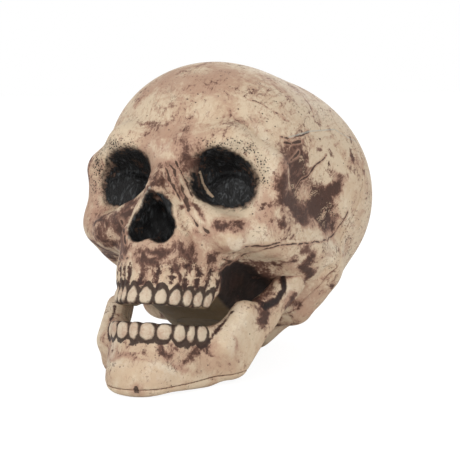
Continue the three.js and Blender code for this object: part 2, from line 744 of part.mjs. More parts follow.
// Origin under the middle of the skull, on the floor
const part = new THREE.Group();
part.add(skull);
const bounds = new THREE.Box3().setFromObject(part, true);
const middle = bounds.getCenter(new THREE.Vector3());
part.position.set(-middle.x, -middle.y, -bounds.min.z);
export default part;
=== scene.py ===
"""Aged plastic skull for a Halloween display: its fine surface, paint, floor, lights and camera."""
import json
import math

import bpy
import numpy as np
from mathutils import Matrix, Vector
from mathutils.bvhtree import BVHTree


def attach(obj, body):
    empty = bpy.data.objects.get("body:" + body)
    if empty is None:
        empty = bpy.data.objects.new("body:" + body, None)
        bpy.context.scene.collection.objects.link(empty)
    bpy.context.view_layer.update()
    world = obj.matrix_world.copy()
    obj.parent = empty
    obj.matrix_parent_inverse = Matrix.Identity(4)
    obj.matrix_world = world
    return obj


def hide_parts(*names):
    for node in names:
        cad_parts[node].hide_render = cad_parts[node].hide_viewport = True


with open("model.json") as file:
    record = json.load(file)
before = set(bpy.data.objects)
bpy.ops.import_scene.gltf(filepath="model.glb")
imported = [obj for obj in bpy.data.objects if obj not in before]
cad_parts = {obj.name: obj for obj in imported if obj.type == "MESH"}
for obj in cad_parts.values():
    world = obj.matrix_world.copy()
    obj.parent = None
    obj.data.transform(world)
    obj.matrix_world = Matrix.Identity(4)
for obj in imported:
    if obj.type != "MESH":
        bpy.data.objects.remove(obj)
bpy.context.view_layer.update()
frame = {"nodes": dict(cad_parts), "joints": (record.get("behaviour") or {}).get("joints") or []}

# The skull's own frame, in millimetres: origin midway between the jaw pins, +x to the skull's
# left, +y to the back of the head, +z up. The row frame is that frame tipped back by PITCH.
MM = 0.001
PITCH = math.radians(28.5425)
TIP = Matrix.Rotation(-PITCH, 3, "X")
HINGE = Vector(frame["joints"][0]["pos_m"])

# The photograph's view, in the skull's own frame
VIEW_YAW, VIEW_TILT, VIEW_ROLL = 0.441737, -0.317066, 0.181774
VIEW_DISTANCE = 900
FOCAL_PX = 1623.57
HINGE_PX = (214.89, 263.62)
FRAME_PX = 460


def view_axes():
    sin_yaw, cos_yaw = math.sin(VIEW_YAW), math.cos(VIEW_YAW)
    back = Vector((sin_yaw * math.cos(VIEW_TILT), -cos_yaw * math.cos(VIEW_TILT), math.sin(VIEW_TILT)))
    right = Vector((cos_yaw, sin_yaw, 0))
    up = back.cross(right)
    turn = Matrix.Rotation(VIEW_ROLL, 3, back)
    return turn @ right, turn @ up, back


RIGHT, UP, BACK = view_axes()
EYE = BACK * VIEW_DISTANCE


def pixel_ray(px, py):
    across, down = (px - HINGE_PX[0]) / FOCAL_PX, (py - HINGE_PX[1]) / FOCAL_PX
    return (RIGHT * across - UP * down - BACK).normalized()


# Distance forms, negative inside. A place is on the left side, and both sides are alike.
TINY = 1e-6  # keeps a distance off zero
TINY_SLOPE = 1e-9
BLUNT_SLOPE = 0.95  # of the least half length, for distances from a blunt oval


def oval(p, at, size):
    q = [(p[k] - at[k]) / size[k] for k in range(3)]
    near = np.sqrt(q[0] ** 2 + q[1] ** 2 + q[2] ** 2) + TINY
    slope = np.sqrt((q[0] / size[0]) ** 2 + (q[1] / size[1]) ** 2 + (q[2] / size[2]) ** 2) + TINY_SLOPE
    return near * (near - 1) / slope


def blunt_oval(p, at, size, power):
    """An oval with squarer sides."""
    q = [np.abs(p[k] - at[k]) / size[k] for k in range(3)]
    near = (q[0] ** power + q[1] ** power + q[2] ** power) ** (1 / power) + TINY
    return (near - 1) * min(size) * BLUNT_SLOPE


def bar(p, start, end, radius, end_radius):
    along = [end[k] - start[k] for k in range(3)]
    reach = [p[k] - start[k] for k in range(3)]
    share = sum(reach[k] * along[k] for k in range(3)) / sum(a * a for a in along)
    share = np.clip(share, 0, 1)
    gap = np.sqrt(sum((reach[k] - share * along[k]) ** 2 for k in range(3)))
    return gap - (radius + (end_radius - radius) * share)


def join(a, b, blend):
    mix = np.maximum(blend - np.abs(a - b), 0) / blend
    return np.minimum(a, b) - mix * mix * blend / 4


def trim(a, b, blend):
    return -join(-a, -b, blend)


def join_ovals(d, p, ovals):
    for at, size, blend in ovals:
        d = join(d, oval(p, at, size), blend)
    return d


def join_bars(d, p, bars):
    for start, end, radius, end_radius, blend in bars:
        d = join(d, bar(p, start, end, radius, end_radius), blend)
    return d


def cut_ovals(d, p, ovals):
    for at, size, blend in ovals:
        d = trim(d, -oval(p, at, size), blend)
    return d


def ramp(value, low, high):
    """0 below low, 1 above high, smooth between."""
    share = np.clip((value - low) / (high - low), 0, 1)
    return share * share * (3 - 2 * share)


def level_at(y, plane):
    """Level of a plane that is given by its level at the front, its rise and where its front is."""
    level, rise, front = plane
    return level + rise * (y - front)


# Teeth
class Arch:
    """The curve that a row of teeth follows: half an ellipse, then straight back."""

    STEPS = 200

    def __init__(self, front, half_width, length):
        self.half_width, self.length = half_width, length
        self.middle = front + length
        self.turn = np.linspace(0, math.pi / 2, self.STEPS)
        steps = np.hypot(half_width * np.cos(self.turn), length * np.sin(self.turn))
        self.reach = np.concatenate([[0], np.cumsum((steps[1:] + steps[:-1]) / 2 * self.turn[1])])

    def outside(self, x, y):
        behind = np.minimum(y - self.middle, 0)
        near = np.sqrt((x / self.half_width) ** 2 + (behind / self.length) ** 2) + TINY
        slope = np.sqrt((x / self.half_width**2) ** 2 + (behind / self.length**2) ** 2) + TINY_SLOPE
        return near * (near - 1) / slope

    def along(self, x, y):
        """How far along the arch a place is from the middle, negative on the skull's right."""
        side = np.abs(x)
        turn = np.arctan2(side / self.half_width, -np.minimum(y - self.middle, 0) / self.length)
        return (np.interp(turn, self.turn, self.reach) + np.maximum(y - self.middle, 0)) * np.sign(x)


UPPER = Arch(front=-77, half_width=21, length=38)
LOWER = Arch(front=-72, half_width=25, length=46)
# Where one tooth ends and the next begins, along the arch from the skull's right to its left
UPPER_ENDS = (-39, -33, -26.8, -20.8, -15, -10.8, -6.4, 0, 7.2, 13.9, 20.6, 26.6, 32.8, 39)
LOWER_ENDS = (-36.5, -29, -21.5, -13.4, -4.3, 1, 9, 17, 24, 29.3, 36.5)
# Planes through the middles of the rows: level, rise to the back, front
UPPER_BITE = (-48, 0.29, -83)
LOWER_BITE = (-64.6, 0.30, -76)
UPPER_PROUD = 2.2  # how far the crowns stand out from the arch
LOWER_PROUD = 2.6
CROWN_HALF_DEPTH = 4
CROWN_HALF_HEIGHT = 4.6
CROWN_ROUND = 3
CROWN_BLEND = 0.8
BITE_POWER = 3  # how square an outline is at the biting edge, and at the two gums
UPPER_GUM_POWER = 1.5
LOWER_GUM_POWER = 2.2
CROWN_FILL = 0.92  # width of a tooth in its place in the row
UPPER_PAINT_FILL = 0.9
LOWER_PAINT_FILL = 0.88
ROW_REACH = 24  # how far from a row's plane its forms are worked out
ROW_REAR = -25
GUM = {"middle": 12, "half_height": 16.6, "inset": 0.8, "half_wall": 5.6, "rear": -46}
GUM_ROUND, GUM_REAR_ROUND, GUM_BLEND = 3, 6, 6
ROOT_RELIEF = 1.2
ROOT_WIDTH = 0.3  # of the tooth's width

# The jaw leans back below a level
JAW_LEAN = 0.22
LEAN_LEVEL = -58


def leaned(y, z):
    return y + JAW_LEAN * (z - LEAN_LEVEL)


def bite(y, z, plane):
    """Height above the plane through the middle of a row's teeth."""
    level, rise, front = plane
    return z - level - rise * (y - front)


def tooth_outline(along, rise, ends, gum_power, fill):
    """Distance outside the nearest tooth's face, in the plane unrolled from the arch; rise is up
    the tooth towards the gum, where its outline is more pointed than at the biting edge."""
    best = np.full_like(along, 50)
    power = BITE_POWER + (gum_power - BITE_POWER) * ramp(rise, -1, 1)
    tall = np.abs(rise) / CROWN_HALF_HEIGHT
    for start, end in zip(ends, ends[1:]):
        half = (end - start) / 2 * fill
        across = np.abs(along - (start + end) / 2) / half
        near = (across**power + tall**power) ** (1 / power) + TINY
        best = np.minimum(best, (near - 1) * half)
    return best


def upper_outline(x, y, z, fill):
    return tooth_outline(UPPER.along(x, y), bite(y, z, UPPER_BITE), UPPER_ENDS, UPPER_GUM_POWER, fill)


def lower_outline(x, y, z, fill):
    along = LOWER.along(x, leaned(y, z))
    return tooth_outline(along, -bite(y, z, LOWER_BITE), LOWER_ENDS, LOWER_GUM_POWER, fill)


def upper_crowns(x, y, z):
    deep = np.abs(UPPER.outside(np.abs(x), y) - UPPER_PROUD) - CROWN_HALF_DEPTH
    return trim(upper_outline(x, y, z, CROWN_FILL), deep, CROWN_ROUND)


def lower_crowns(x, y, z):
    deep = np.abs(LOWER.outside(np.abs(x), leaned(y, z)) - LOWER_PROUD) - CROWN_HALF_DEPTH
    return trim(lower_outline(x, y, z, CROWN_FILL), deep, CROWN_ROUND)


def roots(along, ends):
    """Soft ribs that run up the gum from each tooth."""
    wave = np.zeros_like(along)
    for start, end in zip(ends, ends[1:]):
        wave += np.exp(-(((along - (start + end) / 2) / ((end - start) * ROOT_WIDTH)) ** 2))
    return wave


def upper_gum(x, y, z):
    level = bite(y, z, UPPER_BITE)
    rib = roots(UPPER.along(x, y), UPPER_ENDS) * ramp(level, 2, 7) * ramp(-level, -26, -14)
    middle = UPPER.outside(np.abs(x), y) + GUM["inset"]
    gum = np.abs(middle) - GUM["half_wall"] - ROOT_RELIEF * rib
    gum = trim(gum, np.abs(level - GUM["middle"]) - GUM["half_height"], GUM_ROUND)
    return trim(gum, y - GUM["rear"], GUM_REAR_ROUND)


def near_row(level, form, x, y, z):
    """A form that is worked out only round a row of teeth, and is far off elsewhere."""
    out = np.full(x.shape, 30, dtype=np.float32)
    near = (np.abs(level) < ROW_REACH) & (y < ROW_REAR)
    if near.any():
        out[near] = form(x[near], y[near], z[near])
    return out


# Cranium: ovals are (place, size, blend), bars (start, end, radius, end radius, blend)
BRAIN_CASE = ((0, 22, 53.5), (73, 76.5, 65))
FOREHEAD = ((0, -24, 51), (60, 55, 55), 12)
NAPE = ((0, 38, 10), (49, 49, 33), 18)
KEEL = ((0, 18, -14), (32, 50, 28), 10)
BROWS = [
    ((6, -75, 37), (30, -72, 40), 6.5, 6.5, 10),
    ((30, -72, 40), (49, -58, 34), 6.5, 5, 13),
]
FACE_CORE = ((0, -48, 0), (33, 32, 30))
NOSE_BONES = [
    ((0, -76, 27), (0, -89.6, 8), 5, 2.6, 8),
    ((4, -77, 16), (7.5, -79, 1), 4.2, 3.2, 6),
    ((2, -87, 7.5), (9, -79, -3), 2.6, 3, 4),
    ((9, -79, -3), (13.5, -76.5, -14), 3, 4, 4),
    ((13.5, -76.5, -14), (7, -76.5, -23), 4, 3.5, 5),
    ((0, -77.5, -23), (0, -75, -30), 4, 4, 5),
]
UPPER_JAW = ((0, -48, -26), (26, 34, 18), 10)
CHEEK_START = ((22, -68, -2.5), (35, -61, -6), 7.4, 7.4)
CHEEK = [
    ((35, -61, -6), (46, -50, 3), 7.4, 7, 7),
    ((46, -50, 3), (49, -56, 29), 7, 6, 8),
    ((47, -46, 3), (56, -8, 8), 7, 5.6, 10),
    ((56, -8, 8), (58, 16, 10), 5.6, 5.4, 10),
]
CHEEK_BLEND = 8
FACE_BLEND = 14
MASTOID = ((48, 24, 6), (42, 24, -15), 13, 9, 18)
SIDE_WALL = ((40, -20, 12), (22, 36, 24), 14)
BASE_PLATE = ((0, -10, -24), (25, 52, 14), 3.5)
BASE_PLATE_BLEND = 6
HINGE_BOSS = ((50, 0, 4), (51.5, 0, 2), 6.5, 6.5, 6)
TEMPLE = ((76, -32, 32), (13, 20, 24), 14)
EYE_SOCKET = ((30.2, -78, 20), (17.4, 22, 13.4), 2.5)
SOCKET_TILT = (0.10, 30)  # fall to the outside, and where it is nought
SOCKET_FLOOR = ((30, -55, 17.5), (16, 9.5, 12.5))
SOCKET_FLOOR_BLEND = 2
SOCKET_BLEND = 4
NOSTRIL = ((6, -84, -11.5), (6.2, 16, 7.8))
NOSE_TOP = ((0, -86, -5.5), (6.8, 17, 10.5), 4)
NOSE_BLEND = 2
UNDER_HOLLOWS = [
    ((46, -28, -30), (16, 18, 22), 5),  # behind the cheek
    ((66, 12, -2), (8, 5, 8), 3),  # ear
    ((0, -48, -48), (15, 24, 13), 4),  # palate
]
BASE_LEVEL = -35
BASE_FRONT, BASE_DROP, BASE_BLEND = -44, 2, 5


def socket(p):
    """An eye socket: wide and square-shouldered."""
    fall, middle = SOCKET_TILT
    tilt = fall * (p[0] - middle)
    return blunt_oval((p[0], p[1], p[2] + tilt), *EYE_SOCKET)


def nose(p):
    return join_ovals(oval(p, *NOSTRIL), p, [NOSE_TOP])


def cranium(x, y, z):
    p = (np.abs(x), y, z)
    d = join_ovals(oval(p, *BRAIN_CASE), p, [FOREHEAD, NAPE, KEEL])
    d = join_bars(d, p, BROWS)
    face = join_bars(oval(p, *FACE_CORE), p, NOSE_BONES)
    face = join_ovals(face, p, [UPPER_JAW])
    cheek = join_bars(bar(p, *CHEEK_START), p, CHEEK)
    d = join(d, join(face, cheek, CHEEK_BLEND), FACE_BLEND)
    d = join_bars(d, p, [MASTOID])
    d = join_ovals(d, p, [SIDE_WALL])
    d = join(d, blunt_oval(p, *BASE_PLATE), BASE_PLATE_BLEND)
    d = join_bars(d, p, [HINGE_BOSS])
    level = bite(y, z, UPPER_BITE)
    d = join(d, near_row(level - GUM["middle"], upper_gum, x, y, z), GUM_BLEND)
    d = cut_ovals(d, p, [TEMPLE])
    d = trim(d, -trim(socket(p), -oval(p, *SOCKET_FLOOR), SOCKET_FLOOR_BLEND), SOCKET_BLEND)
    d = trim(d, -nose(p), NOSE_BLEND)
    d = cut_ovals(d, p, UNDER_HOLLOWS)
    d = trim(d, BASE_LEVEL - z - np.maximum(BASE_FRONT - y, 0) * BASE_DROP, BASE_BLEND)
    return join(d, near_row(level, upper_crowns, x, y, z), CROWN_BLEND)


# Jaw: planes are (level, rise to the back, front)
JAW_UPPER_EDGE = (-60.4, 0.28, -76)
JAW_LOWER_EDGE = (-94.5, 0.36, -66)
JAW_BOW = 0.005  # how the lower edge rises to both sides
JAW_HALF_WALL = 5.4
JAW_SWELL = (0.8, 8, 20)  # how much thicker the wall gets, between two depths below its edge
JAW_REAR = -32
JAW_ROUND, JAW_REAR_ROUND = 4, 6
CHIN = ((0, -66, -85), (15, 9, 9), 8)
BRANCH_START = ((0, -32, -63), (0, -18, -34), 11, 9)
BRANCH_OUTLINE = [
    ((0, -18, -34), (0, -3, -10), 9, 7.5, 5),
    ((0, -40, -60), (0, -32, -38), 7, 5.5, 7),
]
# Middle of the branch's wall; it lies farther out with height and to the back: (share, from)
BRANCH_PLANE = {"across": 36, "rise": (0.10, -60), "back": (0.24, -30)}
BRANCH_HALF_WALL, BRANCH_ROUND, BRANCH_BLEND = 4.8, 6, 8
BRANCH_BARS = [
    ((32, -43, -60), (36, -33, -39), 6, 5, 5),
    ((44, -4, -14), (47, 0, -8), 6, 6, 5),
]


def jaw(x, y, z):
    p = (np.abs(x), y, z)
    top = level_at(y, JAW_UPPER_EDGE)
    low = level_at(y, JAW_LOWER_EDGE) + JAW_BOW * x**2
    swell, start, end = JAW_SWELL
    d = np.abs(LOWER.outside(p[0], leaned(y, z))) - JAW_HALF_WALL - swell * ramp(top - z, start, end)
    d = trim(d, np.abs(z - (top + low) / 2) - (top - low) / 2, JAW_ROUND)
    d = trim(d, y - JAW_REAR, JAW_REAR_ROUND)
    d = join_ovals(d, p, [CHIN])
    up_share, up = BRANCH_PLANE["rise"]
    back_share, back = BRANCH_PLANE["back"]
    plane = BRANCH_PLANE["across"] + up_share * (z - up) + back_share * (y - back)
    flat = (0 * p[0], y, z)
    plate = join_bars(bar(flat, *BRANCH_START), flat, BRANCH_OUTLINE)
    branch = trim(plate, np.abs(p[0] - plane) - BRANCH_HALF_WALL, BRANCH_ROUND)
    d = join(d, join_bars(branch, p, BRANCH_BARS), BRANCH_BLEND)
    return join(d, near_row(bite(y, z, LOWER_BITE), lower_crowns, x, y, z), CROWN_BLEND)


# The pieces: the cranium is split at a plane behind the ears, the jaw along its lower edge
SEAM = 16
SEAM_GAP = 0.1
SEAM_ROUND = 0.6
STRIP_EDGE = (-91, 0.58, -66)
STRIP_ROUND = 0.5


def face_part(x, y, z):
    return trim(cranium(x, y, z), y - SEAM + SEAM_GAP, SEAM_ROUND)


def rear_part(x, y, z):
    return trim(cranium(x, y, z), SEAM + SEAM_GAP - y, SEAM_ROUND)


def jaw_part(x, y, z):
    return trim(jaw(x, y, z), level_at(y, STRIP_EDGE) + SEAM_GAP - z, STRIP_ROUND)


def strip_part(x, y, z):
    return trim(jaw(x, y, z), z - level_at(y, STRIP_EDGE) + SEAM_GAP, STRIP_ROUND)


# Meshing: one point in each cell that the surface crosses, drawn onto the surface
BLOCK = 8  # cells along a coarse block
CLOSE_BLOCKS = 1.6  # the grid is worked out finely where the surface is nearer than this
PROBE = 0.25
DRAW_ROUNDS = 2
LEAST_SLOPE = 0.3
LONGEST_DRAW = 0.6  # of a cell
CORNERS = 8


def grid_values(field, axes, cell):
    """The field on a grid, worked out finely only in blocks near the surface."""
    span = cell * BLOCK
    coarse = [a[0] + span * (np.arange(-(-len(a) // BLOCK)) + 0.5) - cell / 2 for a in axes]
    middle = np.meshgrid(*coarse, indexing="ij")
    value = field(*[m.astype(np.float32) for m in middle])
    for k in range(3):
        value = np.repeat(value, BLOCK, axis=k)
    value = np.ascontiguousarray(value[: len(axes[0]), : len(axes[1]), : len(axes[2])])
    at = np.nonzero(np.abs(value) < span * CLOSE_BLOCKS)
    value[at] = field(*[axes[k][at[k]] for k in range(3)])
    return value


def slope_at(field, points):
    d = field(*points.T)
    slope = np.empty_like(points)
    for k in range(3):
        ahead = points.copy()
        ahead[:, k] += PROBE
        slope[:, k] = (field(*ahead.T) - d) / PROBE
    return slope, d


def surface(field, box, cell):
    axes = [np.arange(lo, hi + cell, cell, dtype=np.float32) for lo, hi in box]
    value = grid_values(field, axes, cell)
    inside = value < 0
    unit = np.eye(3, dtype=int)
    # Cells with corners on both sides of the surface
    count = np.zeros([n - 1 for n in inside.shape], dtype=np.int8)
    for c in range(CORNERS):
        count += inside[tuple(slice(1, None) if c >> k & 1 else slice(0, -1) for k in range(3))]
    active = (count > 0) & (count < CORNERS)
    cells = np.argwhere(active)
    number = np.full(active.shape, -1, dtype=np.int64)
    number[active] = np.arange(len(cells))
    # Each cell's point starts midway between the crossings of its edges
    total = np.zeros((len(cells), 3), dtype=np.float32)
    hits = np.zeros(len(cells), dtype=np.float32)
    for axis in range(3):
        for c in range(4):
            near = cells + unit[(axis + 1) % 3] * (c & 1) + unit[(axis + 2) % 3] * (c >> 1)
            a, b = value[tuple(near.T)], value[tuple((near + unit[axis]).T)]
            cross = (a < 0) != (b < 0)
            share = np.where(cross, a / np.where(cross, a - b, 1), 0)
            total += cross[:, None] * (near + share[:, None] * unit[axis])
            hits += cross
    points = np.array([a[0] for a in axes], dtype=np.float32) + total / hits[:, None] * cell
    points = points.astype(np.float32)
    for _ in range(DRAW_ROUNDS):
        slope, d = slope_at(field, points)
        move = -slope * (d / np.maximum((slope**2).sum(1), LEAST_SLOPE))[:, None]
        points += np.clip(move, -cell * LONGEST_DRAW, cell * LONGEST_DRAW)
    # A face round each edge of the grid that the surface crosses
    faces = []
    for axis in range(3):
        u, v = unit[(axis + 1) % 3], unit[(axis + 2) % 3]
        first = tuple(slice(0, -1) if k == axis else slice(1, -1) for k in range(3))
        second = tuple(slice(1, None) if k == axis else slice(1, -1) for k in range(3))
        at = np.argwhere(inside[first] != inside[second]) + 1 - unit[axis]
        ring = np.stack([number[tuple((at - s).T)] for s in (u + v, v, 0 * u, u)], 1)
        outward = inside[tuple(at.T)]
        faces.append(np.where(outward[:, None], ring, ring[:, ::-1]))
    return points, np.concatenate(faces)


CRANIUM_BOX = ((-77, 77), (-99, 102), (-62, 122))
FACE_BOX = (CRANIUM_BOX[0], (-99, 19), CRANIUM_BOX[2])
REAR_BOX = (CRANIUM_BOX[0], (13, 102), CRANIUM_BOX[2])
JAW_BOX = ((-58, 58), (-90, 12), (-98, 12))
FINE = 0.85
COARSE = 1.2


def piece(name, field, box, cell):
    points, faces = surface(field, box, cell)
    return {"name": name, "field": field, "points": points, "faces": faces}


made = [
    piece("skull_face", face_part, FACE_BOX, FINE),
    piece("skull_rear", rear_part, REAR_BOX, COARSE),
    piece("jaw_bone", jaw_part, JAW_BOX, FINE),
    piece("jaw_strip", strip_part, JAW_BOX, FINE),
]
skin = {p["name"]: BVHTree.FromPolygons(p["points"].tolist(), p["faces"].tolist()) for p in made}

TRACE_STEP = 4  # pixels between the places of a traced line
LONGEST_STEP = 25  # where a line steps farther, it has passed from one form to another behind it
FAR_OFF = 1000


def on_skull(px, py):
    """The point of the surface that the photograph shows at a pixel, or None."""
    ray = pixel_ray(px, py)
    best = None
    for tree in skin.values():
        hit = tree.ray_cast(EYE, ray)
        if hit[0] is not None and (best is None or hit[3] < best[1]):
            best = (hit[0], hit[3])
    return best and np.array(best[0])


def traced(pixels):
    """A line through pixels of the photograph, laid on the skull."""
    line = []
    for (ax, ay), (bx, by) in zip(pixels, pixels[1:]):
        count = max(int(math.hypot(bx - ax, by - ay) / TRACE_STEP), 1)
        line += [on_skull(ax + (bx - ax) * k / count, ay + (by - ay) * k / count) for k in range(count)]
    line.append(on_skull(*pixels[-1]))
    return [point for point in line if point is not None]


def mirrored(line):
    return [point * np.array([-1, 1, 1]) for point in line]


def line_distance(points, line):
    best = np.full(len(points), FAR_OFF, dtype=np.float32)
    for a, b in zip(line, line[1:]) if len(line) > 1 else [(line[0], line[0])]:
        along = b - a
        if np.abs(along).max() > LONGEST_STEP:
            continue
        share = np.clip((points - a) @ along / max(along @ along, TINY), 0, 1)
        best = np.minimum(best, np.linalg.norm(points - a - share[:, None] * along, axis=1))
    return best


# Paint, and some painted light and shade, that the photograph shows, by pixel. A stroke is (radius in mm,
# strength, pixels) and a line (half width in mm, pixels). BOTH are laid on the unseen side too, ONE only
# where they show.
STAINS_BOTH = [
    (7, 0.85, [(284, 163), (289, 154), (296, 152)]),
    (6, 1.3, [(291, 168), (292, 185), (291, 200), (294, 212)]),
    (5, 0.8, [(284, 178), (284, 192), (286, 206)]),
    (5, 1.3, [(299, 165), (305, 172), (300, 180)]),
    (6.5, 1.3, [(314, 194), (322, 192), (330, 190)]),
    (7.5, 1.3, [(296, 210), (308, 214), (320, 216)]),
    (6, 1.3, [(322, 210), (328, 220), (331, 228)]),
    (2.6, 0.9, [(333, 183), (345, 182)]),
    (4.5, 0.8, [(284, 222), (289, 230)]),
    (3.4, 0.9, [(248, 262), (262, 264), (276, 262)]),
    (3.4, 0.9, [(283, 264), (294, 259), (305, 254)]),
    (6, 0.8, [(264, 272), (268, 284), (264, 298)]),
    (5, 0.6, [(262, 326), (264, 314)]),
    (4, 0.6, [(288, 300), (298, 306)]),
    (4, 0.4, [(335, 240), (345, 258)]),
    (5, 1.3, [(309, 262), (309, 276)]),
    (3, 0.7, [(324, 281), (330, 290)]),
    (3, 0.7, [(287, 303), (293, 300)]),
    (2.6, 0.9, [(262, 322), (267, 318)]),
    (3, 0.8, [(273, 327), (281, 323)]),
    (4.2, 1.1, [(216, 227), (226, 225), (237, 225), (245, 229)]),
    (3.6, 1.1, [(212, 262), (217, 253), (224, 249)]),
    (2, 0.8, [(317, 148), (320, 151)]),
    (2, 0.8, [(333, 152), (335, 156)]),
    (2, 0.8, [(349, 152), (352, 155)]),
    (2, 0.7, [(350, 166), (353, 170)]),
    (3.6, 0.65, [(197, 349), (212, 347)]),
    (2.4, 0.7, [(192, 357), (198, 361)]),
    (2, 0.7, [(187, 356), (183, 369)]),
    (2, 0.5, [(222, 357), (231, 360)]),
]
STAINS_AND_SHADE_ONE = [
    (6, 0.4, [(143, 124), (157, 129)]),
    (3, 0.45, [(157, 120), (168, 124)]),
    (5, 0.6, [(172, 140), (180, 135), (187, 143)]),
    (3.6, 0.45, [(155, 145), (164, 142)]),
    (3.4, 0.6, [(180, 146), (181, 157)]),
    (8, 0.4, [(222, 127), (238, 119)]),
    (2, 0.6, [(231, 109), (233, 114)]),
    (5, 0.35, [(195, 87), (209, 85)]),
    (4, 0.4, [(242, 124), (258, 121)]),
    (3, 0.3, [(168, 103), (176, 96)]),
    (3.4, 0.8, [(152, 172), (160, 166), (167, 163)]),
    (3.2, 0.8, [(172, 163), (182, 167), (195, 163)]),
    (3, 0.75, [(157, 174), (148, 190), (141, 203)]),
    (2.6, 0.8, [(171, 177), (178, 192), (184, 206), (177, 209)]),
    (1.8, 1.1, [(190, 204), (197, 212), (202, 220)]),
    (1.6, 0.9, [(179, 222), (185, 231), (193, 236)]),
    (7, 0.85, [(97, 212), (106, 222), (101, 236)]),
    (5, 1.1, [(116, 216), (120, 228), (122, 240)]),
    # A painted shadow over brown paint, beside the nose
    (3.5, 1.3, [(138, 192), (131, 205), (124, 220), (121, 238)]),
    (3.4, 0.95, [(141, 263), (147, 251), (158, 253)]),
    (3.4, 0.95, [(165, 256), (178, 248), (186, 257)]),
    (2.8, 0.9, [(193, 246), (196, 262)]),
    (2.4, 0.6, [(140, 266), (170, 267)]),
    (1.3, 1.3, [(142, 264), (141, 282)]),
    (1.2, 1.2, [(149, 262), (149, 276)]),
    (1.4, 1.3, [(157, 262), (158, 283)]),
    (1.4, 1.3, [(176, 264), (177, 284)]),
    (1.2, 1.2, [(190, 262), (191, 282)]),
    (1.1, 1.1, [(200, 262), (200, 280)]),
    (2.6, 0.7, [(165, 352), (176, 350)]),
    (2, 0.8, [(132, 345), (137, 350)]),
    (1.8, 0.6, [(130, 362), (138, 364), (145, 366)]),
    (3.6, 0.7, [(113, 318), (111, 342)]),
    (3, 0.8, [(118, 346), (128, 355), (137, 358)]),
    (2.6, 0.8, [(158, 349), (168, 357)]),
    (2.6, 0.8, [(178, 364), (190, 366)]),
    (3, 0.8, [(203, 352), (214, 360)]),
    (2.2, 0.7, [(232, 341), (240, 352)]),
    (4, 0.9, [(97, 245), (110, 254), (122, 258)]),
    (3, 1.0, [(118, 246), (126, 254)]),
    (3, 0.75, [(107, 352), (118, 356)]),
]
WASHES = [
    (10, 0.9, [(285, 160), (300, 190), (305, 225)]),
    (9, 0.7, [(325, 190), (330, 225)]),
    (9, 0.6, [(270, 190), (265, 215)]),
    (5, 0.6, [(268, 200), (272, 228)]),
    (9, 0.7, [(95, 215), (120, 232)]),
    (9, 0.7, [(150, 165), (190, 165)]),
    (8, 0.6, [(150, 125), (185, 140)]),
    (12, 0.5, [(215, 85), (250, 110), (285, 120)]),
    (10, 0.5, [(300, 95), (340, 130)]),
    (12, 0.5, [(175, 85), (225, 72), (275, 85)]),
    (5, 0.6, [(190, 378), (228, 366)]),
    (8, 0.9, [(145, 255), (200, 255)]),
    (9, 0.6, [(180, 350), (215, 350)]),
    (8, 0.5, [(110, 325), (112, 355)]),
    (7, 0.5, [(330, 265), (310, 300)]),
    (7, 0.8, [(296, 284), (306, 296), (300, 312)]),
    (6, 0.7, [(280, 262), (300, 266)]),
    (5, 0.6, [(250, 330), (262, 318), (272, 308)]),
]
BARE_BOTH = [
    (2.0, 0.5, [(298, 192), (303, 199), (309, 193)]),
    (1.6, 1.0, [(322, 221), (326, 208)]),
    (7, 0.7, [(250, 220), (256, 205), (262, 190)]),
    (8, 1.0, [(240, 312), (236, 330), (228, 345)]),
    (4, 1.0, [(292, 281), (288, 296)]),
]
BARE_ONE = [
    (7, 1.1, [(262, 236), (245, 243), (232, 248)]),
    (7, 0.8, [(330, 240), (310, 235)]),
    (7, 1.0, [(150, 372), (180, 372)]),
    (7, 0.9, [(120, 370), (112, 345)]),
    (8, 0.9, [(345, 200), (352, 230), (330, 262)]),
    (7, 0.8, [(250, 122), (266, 135), (272, 165)]),
    (9, 0.5, [(205, 98), (228, 94)]),
    (8, 0.4, [(200, 122), (212, 118)]),
    (6, 0.9, [(160, 152), (150, 149)]),
    (7, 0.6, [(120, 140), (108, 146)]),
    (6, 0.8, [(204, 240), (198, 226)]),
]
CRACKS_BOTH = [
    (0.5, [(348, 212), (343, 222), (328, 240), (307, 244), (278, 246), (245, 254), (226, 265), (217, 270)]),
    (0.7, [(222, 258), (226, 260), (230, 262)]),
    (0.4, [(275, 75), (285, 81), (295, 88), (303, 96), (310, 105), (316, 122)]),
    (0.3, [(326, 102), (331, 112), (336, 124)]),
    (0.3, [(350, 131), (358, 145), (366, 162)]),
    (0.6, [(281, 137), (292, 139), (303, 135), (309, 132)]),
    (0.6, [(284, 142), (293, 143), (303, 141)]),
    (0.6, [(283, 167), (292, 160), (299, 152)]),
    (0.5, [(296, 186), (310, 172), (327, 155)]),
    (0.6, [(243, 247), (262, 246), (280, 243)]),
]
CRACKS_ONE = [
    (0.3, [(248, 99), (262, 104), (275, 112), (289, 121)]),
    (0.9, [(204, 227), (209, 234)]),
    (0.7, [(170, 162), (176, 176), (184, 192), (189, 206)]),
    (0.6, [(176, 162), (184, 178), (192, 196)]),
    (0.6, [(165, 168), (172, 184), (180, 200)]),
    (0.6, [(184, 200), (190, 214), (198, 226)]),
    (0.7, [(121, 219), (124, 230), (126, 243)]),
    (0.9, [(92, 241), (104, 249), (117, 254), (127, 259)]),
    # A dark dot of painted shade where the small hole under the chin is
    (1.6, [(137, 389), (138, 390)]),
]
PALE_LINES = [(0.6, [(289, 137), (310, 131), (335, 129), (348, 137), (357, 142)])]
# A painted highlight along the bright ridge at the side of the nose
NOSE_RIDGE_HIGHLIGHT = [(0.8, [(150, 187), (143, 200), (140, 213), (132, 226), (129, 238)])]
SPRAY_BOTH = [(5, 1.0, [(212, 147), (232, 143), (250, 148), (261, 160), (265, 180)])]
SPRAY_ONE = [(6, 0.8, [(92, 190), (93, 165), (100, 150), (120, 141)])]
NOSE_EDGE = [(159, 196), (166, 203), (169, 214), (171, 226)]
SLIVERS = [(0.9, 1.1, [(200, 172), (203, 183), (208, 192), (213, 197)])]
